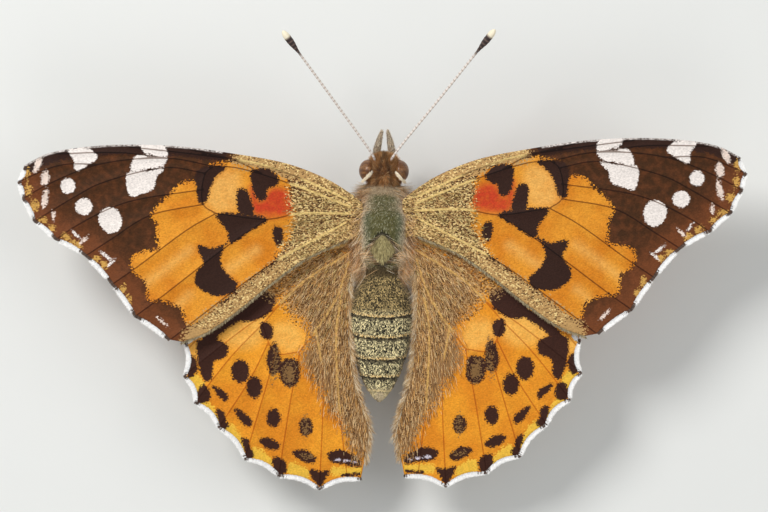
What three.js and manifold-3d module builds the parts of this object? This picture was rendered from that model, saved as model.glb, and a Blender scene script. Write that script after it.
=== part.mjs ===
// Painted lady butterfly at rest, wings spread flat, standing on its four walking legs.
// Millimetres. +Z is up, +Y points from tail to head, +X to the animal's right.
// The feet stand on z = 0 and the origin is below the middle of the whole model.

import * as THREE from 'three';
import { mergeVertices } from 'three/addons/utils/BufferGeometryUtils.js';
import Module from 'manifold-3d';

const wasm = await Module();
wasm.setup();

// Driving dimensions

const GAP = 0.3;                 // clear space between touching nodes
const AXIS_LEAN = -1.2;          // degrees that the body's long axis turns to the right at the head
const MEMBRANE = 0.5;            // wing thickness between the veins

// Wing surfaces: both pairs share one rise and arch, so that they lie parallel where they overlap
const FOREWING_ROOT_Z = 8.35;
const HINDWING_ROOT_Z = 7.1;
const ROOT_REACH = 3;            // distance of the wing hinges from the body axis
const WING_LENGTH = 29;          // hinge to forewing tip
const WING_RISE = 0.03;          // rise for each millimetre outwards
const WING_ARCH = 0.6;           // height of the long arch at half span
const FOREWING_TILT = 0.02;      // rise for each millimetre forwards
const HINDWING_TILT = 0.03;
const HINDWING_DROOP = 0.004;    // the trailing half of the hindwing curls down
const DROOP_START_Y = -4;

// Veins: ridges raised in both faces of the membrane
const VEIN_HALF_WIDTH = 0.42;
const VEIN_HEIGHT = 0.2;
const VEIN_TIP_HEIGHT = 0.1;
const VEIN_STEP = 1.9;
const MARGIN_STEP = 1.5;
const FIELD_STEP = 3.2;
const FIELD_CLEARANCE = 1.5;
const SCALLOP_STEPS = 4;
const INNER_END = 1.3;           // wing blades start this far from the axis before the body is cut away

// Wing outlines and veins: [distance from the body axis, distance forward of the origin]
const FOREWING = {
  height: forewingHeight,
  scallop: 0.28,
  leading: [[2.5, 5.7], [4.6, 7.0], [8.1, 8.4], [12.8, 9.3], [18.4, 10], [24.8, 10], [29.2, 9.3], [31.4, 8.2]],
  ends: [[31.9, 6.8], [31.5, 5.3], [30.5, 3.3], [28.6, 1.7], [26, 0.3], [23.7, -2.2], [21.7, -5], [18.7, -7.1]],
  trailing: [[17.5, -7.3], [15.4, -6.7], [12.5, -4.8], [9.4, -2.1], [6.4, 0.1], [3, 1.8]],
  veins: [
    [[3, 5.3], [7.2, 7.2], [10.7, 8.4], [13.7, 9], [16.8, 9.7]],
    [[2.8, 4.7], [8, 6.7], [12.8, 8.1], [14.7, 8.2]],
    [[10.5, 7.6], [12.8, 8.7], [15.9, 9.2], [22, 9.9]],
    [[18.5, 8.9], [22.9, 9.4], [28.4, 9.3]],
    [[24.6, 8.4], [28.1, 8.3], [31.9, 6.8]],
    [[14.7, 8.2], [18.5, 8.9], [24.6, 8.4], [29, 6.7], [31.5, 5.3]],
    [[15.4, 7.6], [18.7, 8.1], [24.6, 6.7], [26.7, 5.6], [30.5, 3.3]],
    [[15.6, 6.2], [22.5, 5], [26.7, 3], [28.6, 1.7]],
    [[15.6, 4.9], [20.3, 3.9], [23.7, 1.8], [26, 0.3]],
    [[2.8, 4.1], [7.2, 4.1], [10, 3.6], [14.5, 4.1]],
    [[14.5, 4.1], [16.8, 2.8], [21.4, -0.6], [23.7, -2.2]],
    [[10, 3.6], [13.3, 1.4], [19.4, -3.3], [21.7, -5]],
    [[3.2, 3.3], [9.8, -0.4], [15.5, -4.6], [18.7, -7.1]],
    [[14.7, 8.2], [15.4, 7.6], [15.6, 4.9], [14.5, 4.1]],
  ],
};

const HINDWING = {
  height: hindwingHeight,
  scallop: 0.42,
  leading: [[2.6, 2.1], [7.2, 1.1], [10.7, -0.7], [13.7, -2.8], [15.9, -4.9], [17.1, -6.5], [17.5, -8]],
  ends: [[17.5, -10.2], [16.5, -12.6], [14.4, -14.8], [12.1, -17.6], [9.1, -19.1], [5.5, -20.3], [1.8, -19.4]],
  trailing: [[1.5, -17.4], [1.2, -15], [1.7, -13.1], [2.3, -11.2], [2.8, -7.6], [2.9, -2.6], [2.6, -0.5]],
  veins: [
    [[2.8, 1.5], [6.3, 0.4], [10.7, -2.1], [14.2, -4.8], [17.2, -8]],
    [[2.8, 0.7], [7.2, -2.1], [10.5, -5.6]],
    [[8.9, -3.8], [12, -5.9], [17.5, -10.2]],
    [[10.5, -5.6], [13.1, -8.3], [16.5, -12.6]],
    [[10, -7.3], [11.5, -10.3], [14.4, -14.8]],
    [[9.3, -8.1], [10.4, -11.9], [12.1, -17.6]],
    [[2.9, -0.1], [4.1, -3.5], [7.2, -8]],
    [[10.5, -5.6], [9.3, -8.1], [7.2, -8]],
    [[7.2, -8], [8, -12.2], [9.1, -19.1]],
    [[5.8, -6], [5.2, -10.4], [5.5, -20.3]],
    [[3.6, -3.5], [4, -6.1], [3.8, -12.2], [3, -19.6]],
  ],
};

// The right wings of the resting animal lie a little further forward than the left ones
const SIDES = [
  { name: 'left', sign: -1, fore: { sweep: 0, shift: [0, 0] }, hind: { sweep: 0, shift: [0, 0] } },
  { name: 'right', sign: 1, fore: { sweep: 0.9, shift: [0.1, 0.28] }, hind: { sweep: 0, shift: [0.1, 0.25] } },
];

// Body sections: [forward, half width, top, bottom]
const BODY_SIDES = 22;
const THORAX = [
  [6.75, 1.15, 7.3, 5.5], [6.3, 1.75, 7.9, 5], [5.4, 2.25, 8.6, 4.4], [4, 2.7, 9.3, 4],
  [2.5, 2.85, 9.5, 3.8], [1, 2.75, 9.2, 3.8], [-0.4, 2.45, 8.6, 4.1], [-1.2, 2.15, 8.2, 4.4],
];
const ABDOMEN = [
  [-1.5, 2.15, 8.1, 4.5], [-3, 2.5, 8.3, 4.1], [-5, 2.75, 8.3, 3.9], [-6.8, 2.6, 7.9, 3.9],
  [-8.6, 2.1, 7.4, 4.1], [-10.2, 1.6, 6.8, 4.3], [-11.4, 1.05, 6.4, 4.6], [-12.3, 0.4, 5.9, 5],
];
const THORAX_RINGS = 12;
const SCUTELLUM = { y: 0.9, length: 0.9, width: 0.8, height: 0.35 };
const SEGMENT_EDGES = [-1.5, -3, -4.85, -6.7, -8.6, -10.15, -11.4, -12.3];
const SEGMENT_STEP = 0.1;        // each abdomen ring stands this far over the front of the next one

// Head
const HEAD = { centre: [0, 7.95, 6.15], half: [1.5, 1.35, 1.6] };
const EYE = { centre: [1.35, 7.85, 6.45], half: [0.88, 1, 1.25], inner: 1.08 };
const PALP = { path: [[0.62, 8.4, 5.6], [0.68, 9.5, 5.9], [0.5, 10.5, 6.5], [0.28, 11.35, 7.1]], thick: 0.45, tip: 0.1 };
const PROBOSCIS = { root: [0, 8.3, 5.2], centre: [0, 9.05, 4.35], outer: 0.72, inner: 0.22, turns: 1.25, thick: 0.17 };
const ANTENNA_SHAFT = 0.25;
const ANTENNA_CLUB = 0.38;
const ANTENNAE = {
  left: [[-0.75, 8.6, 6.9], [-1.02, 9.2, 7.6], [-4.3, 13.6, 9.3], [-7.6, 17.9, 10.9], [-9.05, 19.75, 11.6]],
  right: [[0.55, 8.6, 6.9], [0.8, 9.15, 7.6], [5.1, 14.7, 9.6], [7.95, 18.4, 11], [9.4, 20.25, 11.7]],
};

// Legs: hip, knee, ankle and toe of the right-hand side
const LEGS = {
  mid: { hip: [1.1, 2.9, 5], knee: [5.2, 4.3, 5.5], ankle: [7.8, 5.2, 0.75], toe: [10.6, 6.4, 0.25] },
  hind: { hip: [1.1, 0.4, 5], knee: [4.7, -2.5, 5.2], ankle: [6.8, -5.3, 0.75], toe: [8.4, -8.1, 0.25] },
};
const ANKLE_GAP = 0.12;          // the tibia ends this far short of the ankle
const FEMUR_RADII = [0.5, 0.32];
const TIBIA_RADII = [0.3, 0.26];
const TARSUS_RADII = [0.3, 0.24];
const BRUSH_LEG = { path: [[0.9, 4.9, 4.6], [0.95, 6.2, 4.3], [0.85, 7.3, 4.1]], radii: [0.42, 0.4, 0.2] };

// Materials

const wingColour = new THREE.MeshStandardMaterial({ color: 0xc8763a, roughness: 0.85, metalness: 0 });
const bodyColour = new THREE.MeshStandardMaterial({ color: 0x77705c, roughness: 0.95, metalness: 0 });
const eyeColour = new THREE.MeshStandardMaterial({ color: 0x8a6a4a, roughness: 0.35, metalness: 0 });
const legColour = new THREE.MeshStandardMaterial({ color: 0xb9a68c, roughness: 0.8, metalness: 0 });
const antennaColour = new THREE.MeshStandardMaterial({ color: 0xa8988c, roughness: 0.7, metalness: 0 });

// Solids

function toSolid(geometry) {
  const bare = geometry.clone();
  bare.deleteAttribute('normal');
  bare.deleteAttribute('uv');
  const merged = mergeVertices(bare, 1e-4);
  const vertProperties = new Float32Array(merged.attributes.position.array);
  const triVerts = new Uint32Array(merged.index.array);
  return new wasm.Manifold(new wasm.Mesh({ numProp: 3, vertProperties, triVerts }));
}

function fromSolid(solid) {
  const mesh = solid.getMesh();
  const geometry = new THREE.BufferGeometry();
  geometry.setAttribute('position', new THREE.BufferAttribute(new Float32Array(mesh.vertProperties), 3));
  geometry.setIndex(Array.from(mesh.triVerts));
  geometry.computeVertexNormals();
  return geometry;
}

// Cuts the given shapes out of a geometry and keeps the largest piece that is left
function carve(geometry, ...cutters) {
  let solid = toSolid(geometry);
  for (const cutter of cutters) {
    solid = solid.subtract(toSolid(cutter));
  }
  const pieces = solid.decompose();
  pieces.sort((a, b) => b.volume() - a.volume());
  return fromSolid(pieces[0]);
}

function closedGeometry(positions, indices) {
  const geometry = new THREE.BufferGeometry();
  geometry.setAttribute('position', new THREE.Float32BufferAttribute(positions, 3));
  geometry.setIndex(indices);
  return geometry;
}

// Stacks rings of equally many points and closes both ends with a fan
function skinRings(rings) {
  const count = rings[0].length;
  const positions = rings.flat(2);
  const indices = [];
  for (let r = 0; r + 1 < rings.length; r++) {
    for (let k = 0; k < count; k++) {
      const next = (k + 1) % count;
      const a = r * count + k;
      const b = r * count + next;
      indices.push(a, b, b + count, a, b + count, a + count);
    }
  }
  for (const [ring, flip] of [[0, true], [rings.length - 1, false]]) {
    const centre = new THREE.Vector3();
    rings[ring].forEach((p) => centre.add(new THREE.Vector3(...p)));
    centre.divideScalar(count);
    const hub = positions.length / 3;
    positions.push(centre.x, centre.y, centre.z);
    for (let k = 0; k < count; k++) {
      const a = ring * count + k;
      const b = ring * count + ((k + 1) % count);
      indices.push(...(flip ? [hub, b, a] : [hub, a, b]));
    }
  }
  return closedGeometry(positions, indices);
}

// Body lofts

function alongBody(sections, y) {
  for (let i = 0; i + 1 < sections.length; i++) {
    const [a, b] = [sections[i], sections[i + 1]];
    if (y <= a[0] && y >= b[0]) {
      const t = (a[0] - y) / (a[0] - b[0]);
      const before = sections[Math.max(i - 1, 0)];
      const after = sections[Math.min(i + 2, sections.length - 1)];
      return a.map((value, k) => THREE.MathUtils.clamp(
        catmullRom(before[k], value, b[k], after[k], t), Math.min(value, b[k]) - 0.1, Math.max(value, b[k]) + 0.1));
    }
  }
  return y > sections[0][0] ? sections[0] : sections[sections.length - 1];
}

function catmullRom(p0, p1, p2, p3, t) {
  const v0 = (p2 - p0) / 2;
  const v1 = (p3 - p1) / 2;
  return (2 * p1 - 2 * p2 + v0 + v1) * t ** 3 + (3 * p2 - 3 * p1 - 2 * v0 - v1) * t ** 2 + v0 * t + p1;
}

// One egg-shaped cross-section; bump raises the middle of the back
function bodyRing(y, half, top, bottom, grow, bump = 0) {
  const middle = (top + bottom) / 2;
  const tall = (top - bottom) / 2 + grow;
  return Array.from({ length: BODY_SIDES }, (_, k) => {
    const angle = (k / BODY_SIDES) * Math.PI * 2;
    const x = (half + grow) * Math.cos(angle);
    const lift = bump * Math.exp(-((x / SCUTELLUM.width) ** 2));
    return [x, y, middle + Math.sin(angle) * (tall + Math.max(Math.sin(angle), 0) * lift)];
  });
}

function thoraxGeometry(grow = 0) {
  const front = THORAX[0][0];
  const back = THORAX[THORAX.length - 1][0];
  const rings = [];
  for (let i = 0; i <= THORAX_RINGS; i++) {
    const y = THREE.MathUtils.lerp(front, back, i / THORAX_RINGS);
    const [, half, top, bottom] = alongBody(THORAX, y);
    const bump = SCUTELLUM.height * Math.exp(-(((y - SCUTELLUM.y) / SCUTELLUM.length) ** 2));
    const stretch = i === 0 ? grow : i === THORAX_RINGS ? -grow : 0;
    rings.push(bodyRing(y + stretch, half, top, bottom, grow, bump));
  }
  return skinRings(rings);
}

function abdomenGeometry(grow = 0) {
  const rings = [];
  for (let s = 0; s + 1 < SEGMENT_EDGES.length; s++) {
    const [front, back] = [SEGMENT_EDGES[s], SEGMENT_EDGES[s + 1]];
    for (const [share, step] of [[s === 0 ? 0 : 0.08, -0.5], [0.5, 0], [1, 0.5]]) {
      const y = THREE.MathUtils.lerp(front, back, share);
      const [, half, top, bottom] = alongBody(ABDOMEN, y);
      const first = s === 0 && share === 0;
      const swell = s + 2 === SEGMENT_EDGES.length ? 0 : step * SEGMENT_STEP;
      rings.push(bodyRing(y + (first ? grow : 0), half, top, bottom, grow + swell));
    }
  }
  const [, half, top, bottom] = ABDOMEN[ABDOMEN.length - 1];
  const tip = SEGMENT_EDGES[SEGMENT_EDGES.length - 1];
  const middle = (top + bottom) / 2;
  rings.push(bodyRing(tip - 0.15 - grow, half / 2, middle + half / 2, middle - half / 2, grow / 2));
  return skinRings(rings);
}

// Head parts

function egg({ centre, half }, grow = 0, across = 20, down = 14) {
  const geometry = new THREE.SphereGeometry(1, across, down);
  geometry.rotateX(Math.PI / 2);
  geometry.scale(...half.map((value) => value + grow));
  geometry.translate(...centre);
  return geometry;
}

function halfSpace(sign, from) {
  const size = 10;
  const geometry = new THREE.BoxGeometry(size, size, size);
  geometry.translate(sign * (from + size / 2), HEAD.centre[1], HEAD.centre[2]);
  return geometry;
}

function mirrored(point, sign) {
  return [point[0] * sign, point[1], point[2]];
}

// The eye is an egg with a flat inner face; the head keeps a socket of the same form
function eyeGeometry(sign, grow = 0) {
  const shape = egg({ centre: mirrored(EYE.centre, sign), half: EYE.half }, grow, 22, 14);
  return fromSolid(toSolid(shape).intersect(toSolid(halfSpace(sign, EYE.inner - grow))));
}

function headGeometry() {
  return carve(egg(HEAD), thoraxGeometry(GAP), eyeGeometry(-1, GAP), eyeGeometry(1, GAP));
}

// A tapered tube along smooth points; clampFloor flattens its underside at z = 0
function taperedTube(points, radii, { sides = 8, steps = 8, smooth = true, clampFloor = false } = {}) {
  const knots = points.map((p) => new THREE.Vector3(...p));
  const curve = smooth ? new THREE.CatmullRomCurve3(knots) : new THREE.LineCurve3(knots[0], knots[1]);
  const frames = curve.computeFrenetFrames(steps, false);
  const rings = [];
  for (let i = 0; i <= steps; i++) {
    const t = i / steps;
    const centre = curve.getPointAt(t);
    const slot = t * (radii.length - 1);
    const low = Math.min(Math.floor(slot), radii.length - 2);
    const radius = THREE.MathUtils.lerp(radii[low], radii[low + 1], slot - low);
    rings.push(Array.from({ length: sides }, (_, k) => {
      const angle = ((k + 0.5) / sides) * Math.PI * 2;
      const point = centre.clone()
        .addScaledVector(frames.normals[i], Math.cos(angle) * radius)
        .addScaledVector(frames.binormals[i], Math.sin(angle) * radius);
      return [point.x, point.y, clampFloor ? Math.max(point.z, 0) : point.z];
    }));
  }
  return skinRings(rings);
}

function antennaGeometry(side) {
  const shaft = ANTENNA_SHAFT;
  const radii = [shaft, shaft, shaft, shaft, shaft, shaft, shaft, shaft, shaft, ANTENNA_CLUB, ANTENNA_CLUB, 0.22];
  const tube = taperedTube(ANTENNAE[side], radii, { sides: 8, steps: 22 });
  return carve(tube, egg(HEAD, GAP), eyeGeometry(-1, GAP), eyeGeometry(1, GAP));
}

function palpGeometry(sign) {
  const path = PALP.path.map((p) => mirrored(p, sign));
  const { thick, tip } = PALP;
  const tube = taperedTube(path, [thick, thick, thick * 0.8, tip], { sides: 8, steps: 6 });
  return carve(tube, egg(HEAD, GAP), eyeGeometry(sign, GAP));
}

// The proboscis is coiled like a watch spring under the head
function proboscisGeometry() {
  const { root, centre, outer, inner, turns, thick } = PROBOSCIS;
  const count = 12;
  const coil = Array.from({ length: count }, (_, i) => {
    const t = i / (count - 1);
    const angle = t * turns * Math.PI * 2;
    const radius = THREE.MathUtils.lerp(outer, inner, t);
    return [centre[0], centre[1] - radius * Math.cos(angle), centre[2] - radius * Math.sin(angle)];
  });
  const tube = taperedTube([root, ...coil], [thick, thick, thick, thick * 0.6], { sides: 6, steps: 24 });
  return carve(tube, egg(HEAD, GAP));
}

// Legs

function towards(from, to, distance) {
  const step = new THREE.Vector3(...to).sub(new THREE.Vector3(...from));
  return new THREE.Vector3(...from).addScaledVector(step.normalize(), distance).toArray();
}

function legGeometries(leg, sign) {
  const [hip, knee, ankle, toe] = [leg.hip, leg.knee, leg.ankle, leg.toe].map((p) => mirrored(p, sign));
  const clear = GAP / 2 + FEMUR_RADII[1] * 0.6;
  const straight = { sides: 8, steps: 2, smooth: false };
  const femur = taperedTube([hip, towards(knee, hip, clear)], FEMUR_RADII, straight);
  const tibia = taperedTube([towards(knee, ankle, clear), towards(ankle, knee, ANKLE_GAP)], TIBIA_RADII, straight);
  const start = [ankle[0], ankle[1], toe[2]];
  const tarsus = taperedTube([start, toe], TARSUS_RADII, { ...straight, steps: 4, clampFloor: true });
  return {
    femur: carve(femur, thoraxGeometry(GAP)),
    tibia: fromSolid(toSolid(tibia)),
    tarsus: fromSolid(toSolid(tarsus)),
  };
}

function brushLegGeometry(sign) {
  const path = BRUSH_LEG.path.map((p) => mirrored(p, sign));
  return carve(taperedTube(path, BRUSH_LEG.radii, { sides: 8, steps: 5 }), thoraxGeometry(GAP), egg(HEAD, GAP));
}

// Wing surfaces

function sharedHeight(reach) {
  const share = THREE.MathUtils.clamp((reach - ROOT_REACH) / WING_LENGTH, 0, 1);
  return WING_RISE * (reach - ROOT_REACH) + WING_ARCH * Math.sin(share * Math.PI);
}

function forewingHeight(reach, forward) {
  return FOREWING_ROOT_Z + sharedHeight(reach) + FOREWING_TILT * (forward - 4);
}

function hindwingHeight(reach, forward) {
  const droop = HINDWING_DROOP * Math.max(0, DROOP_START_Y - forward) ** 2;
  return HINDWING_ROOT_Z + sharedHeight(reach) + HINDWING_TILT * (forward - 2) - droop;
}

// Samples a smooth curve through flat points at an even step
function sampleCurve(points, step) {
  const curve = new THREE.CatmullRomCurve3(points.map(([x, y]) => new THREE.Vector3(x, y, 0)), false, 'centripetal');
  const count = Math.max(1, Math.round(curve.getLength() / step));
  return curve.getSpacedPoints(count).map((p) => [p.x, p.y]);
}

// Shallow bays between the vein ends
function scallops(ends, depth) {
  const points = [];
  for (let i = 0; i + 1 < ends.length; i++) {
    const [a, b] = [ends[i], ends[i + 1]];
    const length = Math.hypot(b[0] - a[0], b[1] - a[1]);
    const inward = [(b[1] - a[1]) / length, -(b[0] - a[0]) / length];
    for (let k = 0; k < SCALLOP_STEPS; k++) {
      const t = k / SCALLOP_STEPS;
      const bay = depth * Math.sin(Math.PI * t);
      points.push([a[0] + (b[0] - a[0]) * t + inward[0] * bay, a[1] + (b[1] - a[1]) * t + inward[1] * bay]);
    }
  }
  points.push(ends[ends.length - 1]);
  return points;
}

function wingOutline(wing) {
  const leading = sampleCurve(wing.leading, MARGIN_STEP);
  const trailing = sampleCurve(wing.trailing, MARGIN_STEP);
  const first = leading[0];
  const last = trailing[trailing.length - 1];
  return [[INNER_END, first[1]], ...leading, ...scallops(wing.ends, wing.scallop), ...trailing, [INNER_END, last[1]]];
}

function segmentDistance(point, a, b) {
  const [dx, dy] = [b[0] - a[0], b[1] - a[1]];
  const t = THREE.MathUtils.clamp(((point[0] - a[0]) * dx + (point[1] - a[1]) * dy) / (dx * dx + dy * dy), 0, 1);
  return { t, distance: Math.hypot(point[0] - a[0] - dx * t, point[1] - a[1] - dy * t) };
}

// Height of the vein ridge over the membrane at one point
function ridgeHeight(point, veins) {
  let ridge = 0;
  for (const vein of veins) {
    for (let i = 0; i + 1 < vein.length; i++) {
      const { t, distance } = segmentDistance(point, vein[i], vein[i + 1]);
      const along = (i + t) / (vein.length - 1);
      const crest = THREE.MathUtils.lerp(VEIN_HEIGHT, VEIN_TIP_HEIGHT, along);
      ridge = Math.max(ridge, crest * Math.max(0, 1 - distance / VEIN_HALF_WIDTH));
    }
  }
  return ridge;
}

function insideOutline([x, y], outline) {
  let inside = false;
  for (let i = 0, j = outline.length - 1; i < outline.length; j = i++) {
    const [a, b] = [outline[i], outline[j]];
    if ((a[1] > y) !== (b[1] > y) && x < ((b[0] - a[0]) * (y - a[1])) / (b[1] - a[1]) + a[0]) {
      inside = !inside;
    }
  }
  return inside;
}

function marginDistance(point, outline) {
  return Math.min(...outline.map((a, i) => segmentDistance(point, a, outline[(i + 1) % outline.length]).distance));
}

// Delaunay triangles, made by adding one point at a time
function triangulate(points) {
  const far = 2000;
  const all = [...points, [-far, -far], [far, -far], [0, far]];
  const count = points.length;
  let triangles = [[count, count + 1, count + 2]];
  for (let i = 0; i < count; i++) {
    const rim = new Map();
    const kept = [];
    for (const triangle of triangles) {
      if (!circleHolds(all, triangle, all[i])) {
        kept.push(triangle);
        continue;
      }
      for (let k = 0; k < 3; k++) {
        const [a, b] = [triangle[k], triangle[(k + 1) % 3]];
        if (!rim.delete(`${b} ${a}`)) {
          rim.set(`${a} ${b}`, [a, b, i]);
        }
      }
    }
    triangles = [...kept, ...rim.values()];
  }
  return triangles.filter((triangle) => Math.max(...triangle) < count);
}

function circleHolds(points, [a, b, c], [x, y]) {
  const [ax, ay] = [points[a][0] - x, points[a][1] - y];
  const [bx, by] = [points[b][0] - x, points[b][1] - y];
  const [cx, cy] = [points[c][0] - x, points[c][1] - y];
  const [aa, bb, cc] = [ax * ax + ay * ay, bx * bx + by * by, cx * cx + cy * cy];
  return ax * (by * cc - bb * cy) - ay * (bx * cc - bb * cx) + aa * (bx * cy - by * cx) > 0;
}

// Points on and beside each vein and in the open cells, nudged so that no four share a circle
function blade(wing) {
  let outline = wingOutline(wing).reverse();
  const veins = wing.veins.map((vein) => sampleCurve(vein, VEIN_STEP));
  const inner = [];
  const add = (point, clearance) => {
    const free = inner.every((other) => Math.hypot(other[0] - point[0], other[1] - point[1]) > clearance);
    if (free && insideOutline(point, outline) && marginDistance(point, outline) > 0.3) {
      const nudge = Math.sin(inner.length * 12.9898) * 0.004;
      inner.push([point[0] + nudge, point[1] - nudge]);
    }
  };
  for (const vein of veins) {
    vein.forEach((point) => add(point, 0.25));
  }
  for (const vein of veins) {
    for (let i = 0; i < vein.length; i++) {
      const [a, b] = [vein[Math.max(i - 1, 0)], vein[Math.min(i + 1, vein.length - 1)]];
      const length = Math.hypot(b[0] - a[0], b[1] - a[1]);
      for (const side of [-1, 1]) {
        const foot = (side * VEIN_HALF_WIDTH) / length;
        add([vein[i][0] - (b[1] - a[1]) * foot, vein[i][1] + (b[0] - a[0]) * foot], 0.3);
      }
    }
  }
  for (let x = INNER_END; x < WING_LENGTH + ROOT_REACH; x += FIELD_STEP) {
    for (let y = -21; y < 11; y += FIELD_STEP) {
      add([x + (Math.round(y / FIELD_STEP) % 2) * 0.5 * FIELD_STEP, y], FIELD_CLEARANCE);
    }
  }
  for (;;) {
    const points = [...outline, ...inner];
    const triangles = triangulate(points);
    const edges = new Set(triangles.flatMap(([a, b, c]) => [`${a} ${b}`, `${b} ${c}`, `${c} ${a}`]));
    const broken = outline.map((_, i) => !edges.has(`${i} ${(i + 1) % outline.length}`));
    if (!broken.includes(true)) {
      const middle = (t) => [0, 1].map((k) => (points[t[0]][k] + points[t[1]][k] + points[t[2]][k]) / 3);
      const tiles = triangles.filter((triangle) => insideOutline(middle(triangle), outline));
      return { points, tiles, rim: outline.length, veins };
    }
    outline = outline.flatMap((a, i) => {
      const b = outline[(i + 1) % outline.length];
      return broken[i] ? [a, [(a[0] + b[0]) / 2, (a[1] + b[1]) / 2]] : [a];
    });
  }
}

// Both faces of a wing carry the same triangles, and a wall joins them round the margin
function wingGeometry(wing, cut, side, place) {
  const turn = THREE.MathUtils.degToRad(place.sweep);
  const positions = [];
  for (const face of [1, -1]) {
    for (const [x, y] of cut.points) {
      const offset = MEMBRANE / 2 + ridgeHeight([x, y], cut.veins);
      const [dx, dy] = [x - ROOT_REACH, y - 4];
      const reach = ROOT_REACH + dx * Math.cos(turn) - dy * Math.sin(turn) + place.shift[0];
      const forward = 4 + dx * Math.sin(turn) + dy * Math.cos(turn) + place.shift[1];
      positions.push(side.sign * reach, forward, wing.height(x, y) + face * offset);
    }
  }
  const count = cut.points.length;
  const indices = [];
  const push = (a, b, c) => indices.push(...(side.sign > 0 ? [a, b, c] : [a, c, b]));
  for (const [a, b, c] of cut.tiles) {
    push(a, b, c);
    push(a + count, c + count, b + count);
  }
  for (let i = 0; i < cut.rim; i++) {
    const next = (i + 1) % cut.rim;
    push(i + count, next + count, next);
    push(i + count, next, i);
  }
  return closedGeometry(positions, indices);
}

// Assembly

const butterfly = new THREE.Group();

function addMesh(parent, name, geometry, material) {
  const mesh = new THREE.Mesh(geometry, material);
  mesh.name = name;
  parent.add(mesh);
}

const body = new THREE.Group();
body.rotation.z = THREE.MathUtils.degToRad(AXIS_LEAN);
butterfly.add(body);
addMesh(body, 'thorax', thoraxGeometry(), bodyColour);
addMesh(body, 'abdomen', abdomenGeometry(), bodyColour);
addMesh(body, 'head', headGeometry(), bodyColour);
addMesh(body, 'proboscis', proboscisGeometry(), legColour);

function leaned(geometry) {
  return geometry.clone().rotateZ(THREE.MathUtils.degToRad(AXIS_LEAN));
}

const bodyCutters = [leaned(thoraxGeometry(GAP)), leaned(abdomenGeometry(GAP))];
const forewingBlade = blade(FOREWING);
const hindwingBlade = blade(HINDWING);

for (const side of SIDES) {
  addMesh(body, `eye_${side.name}`, eyeGeometry(side.sign), eyeColour);
  addMesh(body, `palp_${side.name}`, palpGeometry(side.sign), bodyColour);
  addMesh(body, `antenna_${side.name}`, antennaGeometry(side.name), antennaColour);
  addMesh(body, `foreleg_${side.name}`, brushLegGeometry(side.sign), legColour);
  for (const [pair, leg] of Object.entries(LEGS)) {
    for (const [part, geometry] of Object.entries(legGeometries(leg, side.sign))) {
      addMesh(body, `${pair}leg_${part}_${side.name}`, geometry, legColour);
    }
  }
  const forewing = wingGeometry(FOREWING, forewingBlade, side, side.fore);
  const hindwing = wingGeometry(HINDWING, hindwingBlade, side, side.hind);
  addMesh(butterfly, `forewing_${side.name}`, carve(forewing, ...bodyCutters), wingColour);
  addMesh(butterfly, `hindwing_${side.name}`, carve(hindwing, ...bodyCutters), wingColour);
}

export default butterfly;
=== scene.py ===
"""A painted lady butterfly at rest with its wings spread flat, seen from straight above.

The construction model gives every place and size. This script dresses it: patterned wing
membranes with raised veins, a furred body, eyes, feelers, coiled tongue and legs.
Sizes are in millimetres until a mesh is built, and every mesh is in metres.
"""

from __future__ import annotations

import logging
import math
from collections.abc import Callable, Iterable, Sequence
from dataclasses import dataclass
from enum import Enum

import bpy
import numpy as np
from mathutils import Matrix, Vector
from mathutils.geometry import delaunay_2d_cdt

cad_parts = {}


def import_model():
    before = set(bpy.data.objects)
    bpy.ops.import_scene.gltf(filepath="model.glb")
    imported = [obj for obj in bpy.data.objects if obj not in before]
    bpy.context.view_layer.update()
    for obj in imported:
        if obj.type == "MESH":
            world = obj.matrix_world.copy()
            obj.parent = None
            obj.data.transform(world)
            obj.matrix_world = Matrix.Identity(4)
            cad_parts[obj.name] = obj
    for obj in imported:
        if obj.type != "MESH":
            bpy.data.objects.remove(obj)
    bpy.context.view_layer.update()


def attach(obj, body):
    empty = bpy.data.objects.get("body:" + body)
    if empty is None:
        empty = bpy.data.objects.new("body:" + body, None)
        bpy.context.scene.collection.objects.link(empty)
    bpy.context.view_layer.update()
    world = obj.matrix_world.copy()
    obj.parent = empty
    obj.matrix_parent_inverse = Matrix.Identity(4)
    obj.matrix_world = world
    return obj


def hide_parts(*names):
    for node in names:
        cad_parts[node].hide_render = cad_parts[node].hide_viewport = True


LOG = logging.getLogger("butterfly")

MM = 0.001
BODY = "root"
AXIS_LEAN = math.radians(-1.2)
BAKE_MAP = "OFBake"
BAKE_PATCH = 0.003
BAKE_RIM = 0.002
FLOOR_GAP = 0.004
TINY = 1e-9
FAR = 9.0
DEPTH_LIMIT = 3.0
SPAN_STEPS = 16
OUTLINE_STEP = 0.22
FEELER_RINGS = 260.0
TONGUE_RINGS = 420.0

Knots = Sequence[tuple[float, ...]]
Colour = tuple[float, float, float]
Socket = bpy.types.NodeSocket


class Side(Enum):
    """The two sides of the animal, with the sign of their X."""

    LEFT = -1
    RIGHT = 1

    @property
    def word(self) -> str:
        """The side's word in the names of nodes and pieces."""
        return self.name.lower()

    def mirrored(self, knots: Knots) -> list[tuple[float, ...]]:
        """Places of the right side moved to this side."""
        return [(x * self.value, y, z) for x, y, z in knots]


class Face(Enum):
    """The two faces of a wing."""

    UPPER = "upper"
    UNDER = "under"


def paint(red: int, green: int, blue: int) -> Colour:
    """Turns a screen colour into the linear colour that a shader takes.

    Args:
        red: Screen red, 0 to 255.
        green: Screen green, 0 to 255.
        blue: Screen blue, 0 to 255.

    Returns:
        The linear colour.
    """
    parts = (value / 255 for value in (red, green, blue))
    return tuple(v / 12.92 if v <= 0.04045 else ((v + 0.055) / 1.055) ** 2.4 for v in parts)


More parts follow.
